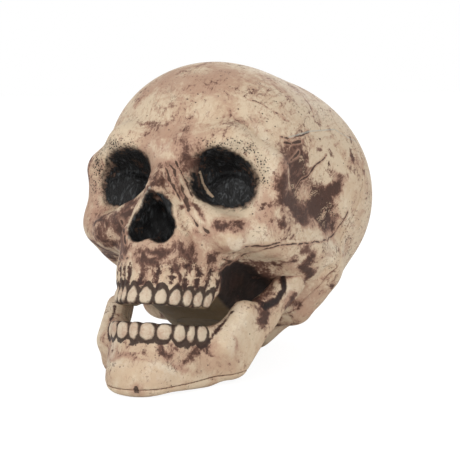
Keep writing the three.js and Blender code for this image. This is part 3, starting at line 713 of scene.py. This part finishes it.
FEATHERS = [
    (5, 1.0, [(294, 190), (303, 198), (312, 190)]),
    (4, 1.0, [(320, 222), (326, 208), (333, 212)]),
    (3, 1.0, [(301, 158), (304, 168)]),
    (4, 1.0, [(300, 232), (312, 234)]),
    (3, 0.8, [(180, 262), (200, 268)]),
]
# Recesses under the cheek and the gap between jaw and skull: brown paint, deepened to black as painted
# shade
RECESS_PAINT_AND_SHADE = [
    (9, 1.6, [(231, 278), (240, 286), (250, 292)]),
    (6, 1.2, [(246, 272), (256, 282), (260, 292)]),
    (5, 1.4, [(223, 272), (224, 284), (222, 298), (230, 304)]),
    (4, 1.1, [(228, 268), (242, 269)]),
    (5, 0.7, [(254, 286), (258, 300)]),
    (2.2, 1.3, [(283, 278), (284, 289), (277, 300), (265, 307)]),
    (1.3, 0.9, [(232, 312), (224, 322), (214, 334), (208, 341)]),
]

THICKEST = 1.3  # of paint, where strokes lie on each other
STROKE_SPREAD = 2.5  # how far a stroke and a line are worked out, in radii and in half widths
LINE_SPREAD = 5
NO_LINE = 20
WAVES = 9
WAVE_SIZES = (0.6, 1.6)  # least and greatest, of the size asked for
BRUSH_WANDERS = ((16, 3.2, 3), (6, 1.6, 4))  # (size, reach, seed)
LINE_WANDER = (7, 0.8, 5)


def wander(points, size, reach, seed):
    """The points moved by up to about reach, near ones alike, so that what is laid by them looks
    brushed."""
    pick = np.random.default_rng(seed)
    moved = points.copy()
    for _ in range(WAVES):
        wave, way = pick.normal(size=(2, 3))
        wave *= 2 * math.pi / (size * pick.uniform(*WAVE_SIZES) * np.linalg.norm(wave))
        phase = pick.uniform(0, 2 * math.pi)
        push = way / np.linalg.norm(way) * reach / math.sqrt(WAVES)
        moved += np.sin(points @ wave + phase)[:, None] * push
    return moved


def laid(strokes, both):
    """Each stroke or line with its way over the skull, and for both sides the mirrored way too."""
    for stroke in strokes:
        line = traced(stroke[-1])
        for way in (line, mirrored(line)) if both else (line,):
            if way:
                yield stroke, way


def close_to(points, way, margin):
    low, high = np.min(way, axis=0) - margin, np.max(way, axis=0) + margin
    return ((points > low) & (points < high)).all(1)


def paint_amount(points, strokes, both):
    """How thick strokes lie on points: 1 in the middle of a full stroke."""
    amount = np.zeros(len(points), dtype=np.float32)
    for (radius, strength, _), way in laid(strokes, both):
        near = close_to(points, way, STROKE_SPREAD * radius)
        if near.any():
            amount[near] += strength * np.exp(-((line_distance(points[near], way) / radius) ** 2))
    return np.minimum(amount, THICKEST)


def line_nearness(points, lines, both):
    """Distance to the nearest of some lines, in half widths."""
    best = np.full(len(points), NO_LINE, dtype=np.float32)
    for (width, _), way in laid(lines, both):
        near = close_to(points, way, LINE_SPREAD * width)
        if near.any():
            best[near] = np.minimum(best[near], line_distance(points[near], way) / width)
    return best


def most_paint(points, on_both, on_one):
    return np.maximum(paint_amount(points, on_both, True), paint_amount(points, on_one, False))


def nearest_line(points, on_both, on_one):
    return np.minimum(line_nearness(points, on_both, True), line_nearness(points, on_one, False))


FAR_MARK = 50
TEETH_OUTSIDE = 1  # teeth are painted from here outwards, past their arch
UPPER_TEETH_TOP = -25
LOWER_TEETH_LOW = -78
GROOVE_WIDTH = 1.9
GROOVE_START, GROOVE_END = (4, 7), (-24, -12)
RING_LEAST, RING_MORE, RING_RISE = 0.7, 0.9, (-2, 4)


def teeth_marks(p, side):
    """Distance outside the nearest tooth's face, the grooves between the upper roots, and how far
    the dark outline of the teeth spreads."""
    tooth = np.full(len(p["points"]), float(FAR_MARK))
    groove = np.zeros(len(p["points"]))
    x, y, z = p["points"].T
    if p["name"] == "skull_face":
        front = (UPPER.outside(side[0], y) > TEETH_OUTSIDE) & (z < UPPER_TEETH_TOP)
        level = bite(y, z, UPPER_BITE)
        tooth[front] = upper_outline(x[front], y[front], z[front], UPPER_PAINT_FILL)
        along = UPPER.along(x, y)
        gap = np.min([np.abs(along - end) for end in UPPER_ENDS], axis=0)
        reach = ramp(level, *GROOVE_START) * ramp(-level, *GROOVE_END)
        groove = np.where(front, np.exp(-((gap / GROOVE_WIDTH) ** 2)) * reach, 0)
    elif p["name"] == "jaw_bone":
        level = -bite(y, z, LOWER_BITE)
        front = (LOWER.outside(side[0], leaned(y, z)) > TEETH_OUTSIDE) & (z > LOWER_TEETH_LOW)
        tooth[front] = lower_outline(x[front], y[front], z[front], LOWER_PAINT_FILL)
    else:
        return tooth, groove, groove
    return tooth, groove, RING_LEAST + RING_MORE * ramp(level, *RING_RISE)


# How shut in each point is; the paint darkens corners by it as painted shade and gathered wash
SHUT_REACHES = (2.5, 6, 14)


def shut_in(points, normal):
    """How little room there is before each point: 1 in a narrow corner."""
    corner_wash_and_shade = np.zeros(len(points), dtype=np.float32)
    for reach in SHUT_REACHES:
        away = points + normal * reach
        room = np.minimum(cranium(*away.T), jaw(*away.T))
        corner_wash_and_shade += np.clip(1 - room / reach, 0, 1) / len(SHUT_REACHES)
    return corner_wash_and_shade


NOSE_EDGE_REACH = 1.6
JAW_INSIDE_STAIN_AND_SHADE = {"depth": (2, 5), "level": (-88, -80), "facing": 0.3, "strength": 0.75}
UNDERSIDE = {"facing": (0.75, 0.95), "depth": (30, 34), "front": -60}


def surface_marks(p):
    """What the paint goes by at each point of a piece."""
    points = p["points"]
    side = (np.abs(points[:, 0]), points[:, 1], points[:, 2])
    of_skull = p["name"].startswith("skull")
    black = np.full(len(points), FAR_MARK)
    if p["name"] == "skull_face":
        hollow = np.minimum(socket(side), nose(side))
        black = np.minimum(hollow, line_distance(points, traced(NOSE_EDGE)) - NOSE_EDGE_REACH)
    tooth, groove, ring = teeth_marks(p, side)
    slope, _ = slope_at(p["field"], points)
    normal = slope / np.maximum(np.linalg.norm(slope, axis=1), TINY)[:, None]
    corner_wash_and_shade = shut_in(points, normal)
    brushed = points
    for size, reach, seed in BRUSH_WANDERS:
        brushed = wander(brushed, size, reach, seed)
    stain_and_shade = most_paint(brushed, STAINS_BOTH, STAINS_AND_SHADE_ONE)
    if not of_skull:
        # Brown on the inward-facing sides of the jaw: stain, and painted shade inside the mouth
        depth = -LOWER.outside(side[0], leaned(points[:, 1], points[:, 2]))
        inner = ramp(depth, *JAW_INSIDE_STAIN_AND_SHADE["depth"]) * ramp(points[:, 2], *JAW_INSIDE_STAIN_AND_SHADE["level"])
        facing = normal[:, 0] * np.sign(points[:, 0]) < JAW_INSIDE_STAIN_AND_SHADE["facing"]
        stain_and_shade = np.maximum(stain_and_shade, JAW_INSIDE_STAIN_AND_SHADE["strength"] * inner * facing)
    below = ramp(-normal[:, 2], *UNDERSIDE["facing"]) * ramp(-points[:, 2], *UNDERSIDE["depth"])
    below = below * (points[:, 1] > UNDERSIDE["front"])
    return {
        "black": black,
        "tooth": tooth,
        "groove": groove,
        "ring": ring,
        "crack": nearest_line(wander(points, *LINE_WANDER), CRACKS_BOTH, CRACKS_ONE),
        "stain_and_shade": stain_and_shade,
        "wash": paint_amount(brushed, WASHES, True),
        "bare": most_paint(brushed, BARE_BOTH, BARE_ONE),
        "feather": paint_amount(points, FEATHERS, True),
        "recess_paint_and_shade": paint_amount(points, RECESS_PAINT_AND_SHADE, True),
        "spray": most_paint(points, SPRAY_BOTH, SPRAY_ONE),
        "pale_wear_and_highlight": nearest_line(points, PALE_LINES, NOSE_RIDGE_HIGHLIGHT),
        "sliver": paint_amount(points, SLIVERS, False),
        "corner_wash_and_shade": corner_wash_and_shade,
        "below": below if of_skull else 0 * corner_wash_and_shade,
    }


def to_row(points):
    turn = np.array(TIP)
    return points * MM @ turn.T + np.array(HINGE)


def make_object(p):
    mesh = bpy.data.meshes.new(p["name"])
    places = to_row(p["points"])
    places[:, 2] = np.maximum(places[:, 2], 0)  # flat where it stands on the floor
    mesh.from_pydata(places.tolist(), [], p["faces"].tolist())
    mesh.shade_smooth()
    for name, values in surface_marks(p).items():
        layer = mesh.attributes.new(name, "FLOAT", "POINT")
        layer.data.foreach_set("value", values.astype(np.float32))
    obj = bpy.data.objects.new(p["name"], mesh)
    bpy.context.collection.objects.link(obj)
    return obj


shape = {p["name"]: make_object(p) for p in made}


# Materials
class Wire:
    """One value in a node tree, with arithmetic."""

    def __init__(self, tree, socket):
        self.tree, self.socket = tree, socket

    def math(self, kind, *others):
        node = self.tree.nodes.new("ShaderNodeMath")
        node.operation = kind
        for k, value in enumerate((self, *others)):
            if isinstance(value, Wire):
                self.tree.links.new(value.socket, node.inputs[k])
            else:
                node.inputs[k].default_value = value
        return Wire(self.tree, node.outputs[0])

    def __add__(self, other):
        return self.math("ADD", other)

    def __sub__(self, other):
        return self.math("SUBTRACT", other)

    def __mul__(self, other):
        return self.math("MULTIPLY", other)

    def step(self, low, high):
        """0 below low, 1 above high, smooth between; low may be the greater."""
        node = self.tree.nodes.new("ShaderNodeMapRange")
        node.interpolation_type = "SMOOTHSTEP"
        self.tree.links.new(self.socket, node.inputs["Value"])
        node.inputs["From Min"].default_value = low
        node.inputs["From Max"].default_value = high
        return Wire(self.tree, node.outputs["Result"])

    def ridge(self):
        """0 along the lines where a noise is at its middle, more to both sides of them."""
        return (self - 0.5).math("ABSOLUTE")


class Finish:
    """A material whose colour, roughness and relief are built up in layers. Cells of noise and
    dots are in metres."""

    def __init__(self, name, colour, roughness, specular=0.5, metallic=0):
        self.material = bpy.data.materials.new(name)
        self.material.use_nodes = True
        self.tree = self.material.node_tree
        self.shader = self.tree.nodes["Principled BSDF"]
        self.shader.inputs["Specular IOR Level"].default_value = specular
        self.shader.inputs["Metallic"].default_value = metallic
        self.place = Wire(self.tree, self.tree.nodes.new("ShaderNodeTexCoord").outputs["Object"])
        self.colour = colour
        self.roughness = roughness
        self.relief = []

    def mark(self, name):
        node = self.tree.nodes.new("ShaderNodeAttribute")
        node.attribute_name = name
        return Wire(self.tree, node.outputs["Fac"])

    def stretched(self, turn, size):
        node = self.tree.nodes.new("ShaderNodeMapping")
        self.tree.links.new(self.place.socket, node.inputs["Vector"])
        node.inputs["Rotation"].default_value = [math.radians(a) for a in turn]
        node.inputs["Scale"].default_value = size
        return Wire(self.tree, node.outputs["Vector"])

    def noise(self, cell, detail=3, rough=0.55, warp=0, place=None):
        node = self.tree.nodes.new("ShaderNodeTexNoise")
        self.tree.links.new((place or self.place).socket, node.inputs["Vector"])
        node.inputs["Scale"].default_value = 1 / cell
        node.inputs["Detail"].default_value = detail
        node.inputs["Roughness"].default_value = rough
        node.inputs["Distortion"].default_value = warp
        return Wire(self.tree, node.outputs["Fac"])

    def dots(self, size):
        """Distance to the nearest of scattered dots."""
        node = self.tree.nodes.new("ShaderNodeTexVoronoi")
        self.tree.links.new(self.place.socket, node.inputs["Vector"])
        node.inputs["Scale"].default_value = 1 / size
        return Wire(self.tree, node.outputs["Distance"])

    def mixed(self, kind, amount, below, above):
        """One colour or roughness over another, as thick as amount."""
        node = self.tree.nodes.new("ShaderNodeMix")
        node.data_type = kind
        of_kind = "RGBA" if kind == "RGBA" else "VALUE"
        self.tree.links.new(amount.socket, node.inputs["Factor"])
        for key, value in (("A", below), ("B", above)):
            entry = next(s for s in node.inputs if s.name == key and s.type == of_kind)
            if isinstance(value, Wire):
                self.tree.links.new(value.socket, entry)
            else:
                entry.default_value = (*value, 1) if kind == "RGBA" else value
        return Wire(self.tree, next(s for s in node.outputs if s.type == of_kind))

    def paint(self, amount, colour, strength=1):
        self.colour = self.mixed("RGBA", amount * strength, self.colour, colour)

    def shine(self, amount, roughness):
        self.roughness = self.mixed("FLOAT", amount, self.roughness, roughness)

    def raise_by(self, height, millimetres):
        self.relief.append(height * (millimetres * MM))

    def done(self):
        self.tree.links.new(self.colour.socket, self.shader.inputs["Base Color"])
        self.tree.links.new(self.roughness.socket, self.shader.inputs["Roughness"])
        total = self.relief[0]
        for layer in self.relief[1:]:
            total = total + layer
        bump = self.tree.nodes.new("ShaderNodeBump")
        bump.inputs["Strength"].default_value = 1
        bump.inputs["Distance"].default_value = 1
        self.tree.links.new(total.socket, bump.inputs["Height"])
        self.tree.links.new(bump.outputs["Normal"], self.shader.inputs["Normal"])
        return self.material


def linear(part):
    """One part of a colour as the eye reads it, 0 to 255, in the linear value a shader takes."""
    return ((part / 255 + 0.055) / 1.055) ** 2.4 if part > 10 else part / 255 / 12.92


def rgb(red, green, blue):
    return linear(red), linear(green), linear(blue)


BONE = rgb(203, 184, 158)
PALE = rgb(222, 210, 189)
TAN = rgb(190, 164, 137)
WASH = rgb(166, 130, 110)
BROWN = rgb(90, 61, 51)
DARK = rgb(48, 33, 28)
TOOTH = rgb(200, 183, 160)
RING = rgb(50, 35, 29)
BLACK = rgb(15, 14, 14)
# grey of the painted highlights along the brush marks in the black
BLACK_BRUSH_HIGHLIGHT = rgb(74, 76, 77)
OLIVE = rgb(132, 112, 82)
OLIVE_DIRT = rgb(74, 64, 46)
ZINC = rgb(150, 148, 142)
ZINC_DIRT = rgb(118, 112, 102)
GREY = rgb(176, 172, 160)
HAZE = rgb(120, 110, 94)
# Directions of brushed noise: (turn in degrees, size along each axis)
STREAK_WAY = ((20, 30, 40), (1, 0.2, 0.5))
HAIR_WAY = ((65, 10, 25), (1, 0.12, 0.4))
FEATHER_WAY = ((50, 10, 70), (1, 0.18, 0.5))
SCRATCH_WAY = ((50, 10, 70), (1, 0.2, 0.5))
BRUSH_WAY = ((0, 55, 0), (1, 1, 0.22))
SKULL_WASH = 0.5
JAW_WASH = 0.2


def bone(name, wash):
    f = Finish(name, BONE, 0.5, specular=0.2)
    broad = f.noise(0.03, detail=5, rough=0.65, warp=0.5)
    streak = f.noise(0.007, detail=6, rough=0.7, warp=1.4, place=f.stretched(*STREAK_WAY))
    hair = f.noise(0.0022, detail=4, rough=0.7, warp=1.0, place=f.stretched(*HAIR_WAY))
    coarse = f.noise(0.009, detail=9, rough=0.7, warp=0.6)
    fine = f.noise(0.0022, detail=6, rough=0.75, warp=0.3)
    grain = coarse * 0.6 + fine * 0.4 - 0.5
    bare = f.mark("bare")
    # Wash over the whole, thin where it is bare
    f.paint((broad + grain * 0.5).step(0.42, 0.6), TAN, 0.8)
    f.paint((bare * 0.6 + grain * 3).step(0.2, 1.0), PALE, 0.75)
    f.paint((f.mark("wash") + grain * 4 + (broad - 0.5) * 3 - bare * 0.6).step(0.0, 1.0), WASH, wash + 0.2)
    f.paint((streak + grain * 0.8 - bare * 0.1).step(0.54, 0.7), WASH, wash)
    f.paint((hair + grain * 0.5).step(0.52, 0.64), WASH, wash)
    f.paint((hair + grain * 0.8 + (broad - 0.5) * 0.6).step(0.67, 0.74), BROWN, wash)
    # Painted shade in narrow corners, with the brown wash that gathers there
    corner_wash_and_shade = f.mark("corner_wash_and_shade")
    f.paint((corner_wash_and_shade + grain * 2).step(0.3, 0.8), WASH, 0.8)
    f.paint((corner_wash_and_shade + grain * 2).step(0.6, 1.0), BROWN, 0.85)
    # Stains and some painted shade, with lighter brush marks in them
    stain_and_shade = f.mark("stain_and_shade")
    f.paint((stain_and_shade + grain * 2 + (hair - 0.5)).step(0.1, 0.8), WASH, 0.85)
    patch = stain_and_shade * 1.4 + grain * 6 + (hair - 0.5) * 2.5 - bare * 1.2
    f.paint(patch.step(0.35, 1.15), BROWN, 0.9)
    f.paint((patch + (broad - 0.5) * 2).step(1.1, 1.6), DARK, 0.65)
    barb = f.noise(0.0028, detail=5, rough=0.7, warp=1.0, place=f.stretched(*FEATHER_WAY)).ridge()
    f.paint(barb.step(0.035, 0.01) * (f.mark("feather") + grain * 5).step(0.4, 0.8), TAN, 0.85)
    # Specks, dots and scratches
    speck = f.noise(0.0017, detail=4, rough=0.75) + f.noise(0.018, detail=4, rough=0.6) * 0.6
    f.paint(speck.step(0.92, 1.0), BROWN, 0.7)
    dots = f.dots(0.004)
    f.paint(dots.step(0.14, 0.09) * f.noise(0.022).step(0.48, 0.56), DARK, 0.85)
    scratch = f.noise(0.012, detail=5, rough=0.6, warp=2.5, place=f.stretched(*SCRATCH_WAY)).ridge()
    f.paint(scratch.step(0.012, 0.004) * f.noise(0.025).step(0.52, 0.6), BROWN, 0.6)
    # Recesses under the cheek: brown paint deepened to dark and black as painted shade; grooves between the
    # roots, cracks
    recess_paint_and_shade = f.mark("recess_paint_and_shade")
    f.paint((recess_paint_and_shade + grain * 4).step(0.3, 0.8), BROWN, 0.95)
    f.paint((recess_paint_and_shade + grain * 3).step(0.5, 1.0), DARK)
    f.paint((recess_paint_and_shade + grain * 3).step(1.0, 1.4), BLACK, 0.7)
    groove = f.mark("groove")
    f.paint((groove + grain * 6).step(0.45, 0.7), BROWN, 0.95)
    f.paint((groove + grain * 6).step(0.7, 1.0), DARK, 0.85)
    crack = f.mark("crack") + f.noise(0.004, detail=5, rough=0.7) * 4 - 2
    f.paint(crack.step(3.6, 0.8), WASH, 0.7)
    f.paint(crack.step(1.2, 0.7), DARK, 0.85)
    # Teeth in their dark outline
    tooth = f.mark("tooth") + f.noise(0.005, detail=5, rough=0.6) * 1.6 - 0.8
    f.paint(tooth.step(0.2, -0.6), TOOTH)
    f.paint(tooth.step(0.2, -0.6) * (grain + 0.5).step(0.46, 0.6), WASH, 0.6)
    rim = tooth - f.mark("ring") * (f.noise(0.006) * 2.4 - 0.2)
    f.paint((tooth - grain * 4).step(-0.8, 0.1) * rim.step(0.3, -0.2), RING, 0.95)
    # Pale worn lines and a painted highlight along the nose's ridge, and the fine spray beside the sockets
    f.paint((f.mark("pale_wear_and_highlight") + fine * 0.8).step(1.4, 0.8), GREY, 0.7)
    spray = f.mark("spray")
    spots = f.dots(0.0013) - spray * 0.36 - grain
    f.paint((spray + grain * 3).step(0.5, 1.4), HAZE, 0.4)
    f.paint(spots.step(0.02, -0.04), BLACK, 0.9)
    # Black sockets and nose with their brush marks painted lighter as highlights on the black, and the bare
    # underside
    edge = f.mark("black") + grain * 8
    f.paint(edge.step(2.0, 0.6), DARK, 0.9)
    black = edge.step(0.6, 0.3)
    f.paint(black, BLACK)
    brush = f.noise(0.0035, detail=6, rough=0.65, warp=2.5, place=f.stretched(*BRUSH_WAY))
    # Painted highlights: the brush marks in the glossy black are painted lighter grey
    f.paint(black * brush.step(0.5, 0.66), BLACK_BRUSH_HIGHLIGHT, 0.8)
    f.paint((f.mark("sliver") + grain * 3).step(0.45, 0.8), TAN, 0.75)
    f.paint(f.mark("below"), OLIVE)
    f.shine(coarse.step(0.35, 0.65), 0.62)
    f.shine(black, 0.38)
    f.raise_by(coarse, 0.6)
    f.raise_by(streak, 0.5)
    f.raise_by(hair, 0.12)
    f.raise_by(fine, 0.2)
    f.raise_by(crack.step(0.2, 1.2), 0.4)
    f.raise_by(dots.step(0.05, 0.2), 0.2)
    f.raise_by(tooth.step(1.2, 0.2), 0.3)
    f.raise_by(brush * black, 1.2)
    return f.done()


bone_paint = bone("bone_paint", SKULL_WASH)
jaw_paint = bone("jaw_paint", JAW_WASH)
for name, obj in shape.items():
    obj.data.materials.append(jaw_paint if name.startswith("jaw") else bone_paint)
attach(shape["skull_face"], "cranium")
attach(shape["skull_rear"], "cranium")
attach(shape["jaw_bone"], "jaw")
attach(shape["jaw_strip"], "jaw")
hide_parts("face_shell")
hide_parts("rear_shell")
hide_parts("jaw_shell")
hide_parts("jaw_cover")


def olive_plastic():
    f = Finish("olive_plastic", OLIVE, 0.6)
    f.paint(f.noise(0.012, detail=5, rough=0.6).step(0.4, 0.7), OLIVE_DIRT, 0.8)
    f.shine(f.noise(0.004, detail=4).step(0.3, 0.7), 0.5)
    f.raise_by(f.noise(0.002, detail=4), 0.15)
    return f.done()


def zinc_steel():
    f = Finish("zinc_steel", ZINC, 0.35, metallic=1)
    f.paint(f.noise(0.003, detail=4, rough=0.6).step(0.45, 0.7), ZINC_DIRT, 0.7)
    f.shine(f.noise(0.0015, detail=4).step(0.3, 0.7), 0.5)
    f.raise_by(f.noise(0.0006), 0.03)
    return f.done()


olive, steel = olive_plastic(), zinc_steel()
for name, obj in frame["nodes"].items():
    material = olive if "panel" in name or "washer" in name else steel
    for slot in obj.material_slots:
        slot.material = material


# Stage
def blend_shaders(tree, share, first, second, output):
    """Shows two shaders, the second by its share, at the output of a tree."""
    node = tree.nodes.new("ShaderNodeMixShader")
    tree.links.new(share.socket, node.inputs["Fac"])
    tree.links.new(first.outputs[0], node.inputs[1])
    tree.links.new(second.outputs[0], node.inputs[2])
    tree.links.new(node.outputs[0], tree.nodes[output].inputs["Surface"])


FLOOR_HALF = 4
FLOOR_GREY = 0.9
FLOOR_ROUGHNESS = 0.9
# To the camera the floor is mostly an even white of this brightness, and for the rest it takes shade
FLOOR_BRIGHTNESS = 1.15
FLOOR_GLOW = 0.8
corners = [(-1, -1), (1, -1), (1, 1), (-1, 1)]
floor_mesh = bpy.data.meshes.new("floor")
floor_mesh.from_pydata([(x * FLOOR_HALF, y * FLOOR_HALF, 0) for x, y in corners], [], [(0, 1, 2, 3)])
floor = bpy.data.objects.new("floor", floor_mesh)
bpy.context.collection.objects.link(floor)
floor_paint = bpy.data.materials.new("floor_paint")
floor_paint.use_nodes = True
tree = floor_paint.node_tree
paper = tree.nodes["Principled BSDF"]
paper.inputs["Base Color"].default_value = (FLOOR_GREY, FLOOR_GREY, FLOOR_GREY, 1)
paper.inputs["Roughness"].default_value = FLOOR_ROUGHNESS
glow = tree.nodes.new("ShaderNodeEmission")
glow.inputs["Strength"].default_value = FLOOR_BRIGHTNESS
seen = tree.nodes.new("ShaderNodeLightPath")
share = Wire(tree, seen.outputs["Is Camera Ray"]) * FLOOR_GLOW
blend_shaders(tree, share, paper, glow, "Material Output")
floor_mesh.materials.append(floor_paint)

# White all round: dimmer where it lights the skull than where it is seen or mirrored
WORLD_LIGHT = 0.6
world = bpy.data.worlds.new("studio")
bpy.context.scene.world = world
world.use_nodes = True
tree = world.node_tree
background = tree.nodes["Background"]
bright = tree.nodes.new("ShaderNodeBackground")
for node, strength in ((background, WORLD_LIGHT), (bright, 1)):
    node.inputs["Color"].default_value = (1, 1, 1, 1)
    node.inputs["Strength"].default_value = strength
path = tree.nodes.new("ShaderNodeLightPath")
lit = Wire(tree, path.outputs["Is Camera Ray"])
for ray in ("Is Glossy Ray", "Is Transmission Ray"):
    lit = lit.math("MAXIMUM", Wire(tree, path.outputs[ray]))
blend_shaders(tree, lit, background, bright, "World Output")

LAMP_AIM = Vector((0, 0, 0.08))


def lamp(name, place, size, power):
    data = bpy.data.lights.new(name, "AREA")
    data.shape, data.size, data.energy = "DISK", size, power
    obj = bpy.data.objects.new(name, data)
    obj.location = place
    obj.rotation_euler = (LAMP_AIM - Vector(place)).to_track_quat("-Z", "Y").to_euler()
    bpy.context.collection.objects.link(obj)


lamp("key", (-0.7, -1.5, 1.3), 0.9, 16.4)
lamp("fill", (1.4, -1.2, 0.5), 1.2, 13)
lamp("back", (-0.3, 2.0, 1.0), 1.2, 7)

# Camera: aimed so that the hinge point falls on its own pixel of the photograph
SENSOR_MM = 36
NEAREST, FARTHEST = 0.05, 20
camera_data = bpy.data.cameras.new("camera")
camera = bpy.data.objects.new("camera", camera_data)
bpy.context.collection.objects.link(camera)
bpy.context.scene.camera = camera
aim = pixel_ray(FRAME_PX / 2, FRAME_PX / 2)
across = aim.cross(UP).normalized()
axes = Matrix((across, across.cross(aim), -aim)).transposed()
camera.matrix_world = Matrix.Translation(TIP @ (EYE * MM) + HINGE) @ (TIP @ axes).to_4x4()
camera_data.sensor_width = SENSOR_MM
camera_data.lens = SENSOR_MM * FOCAL_PX / FRAME_PX
camera_data.clip_start, camera_data.clip_end = NEAREST, FARTHEST

bpy.context.scene.view_settings.view_transform = "Standard"
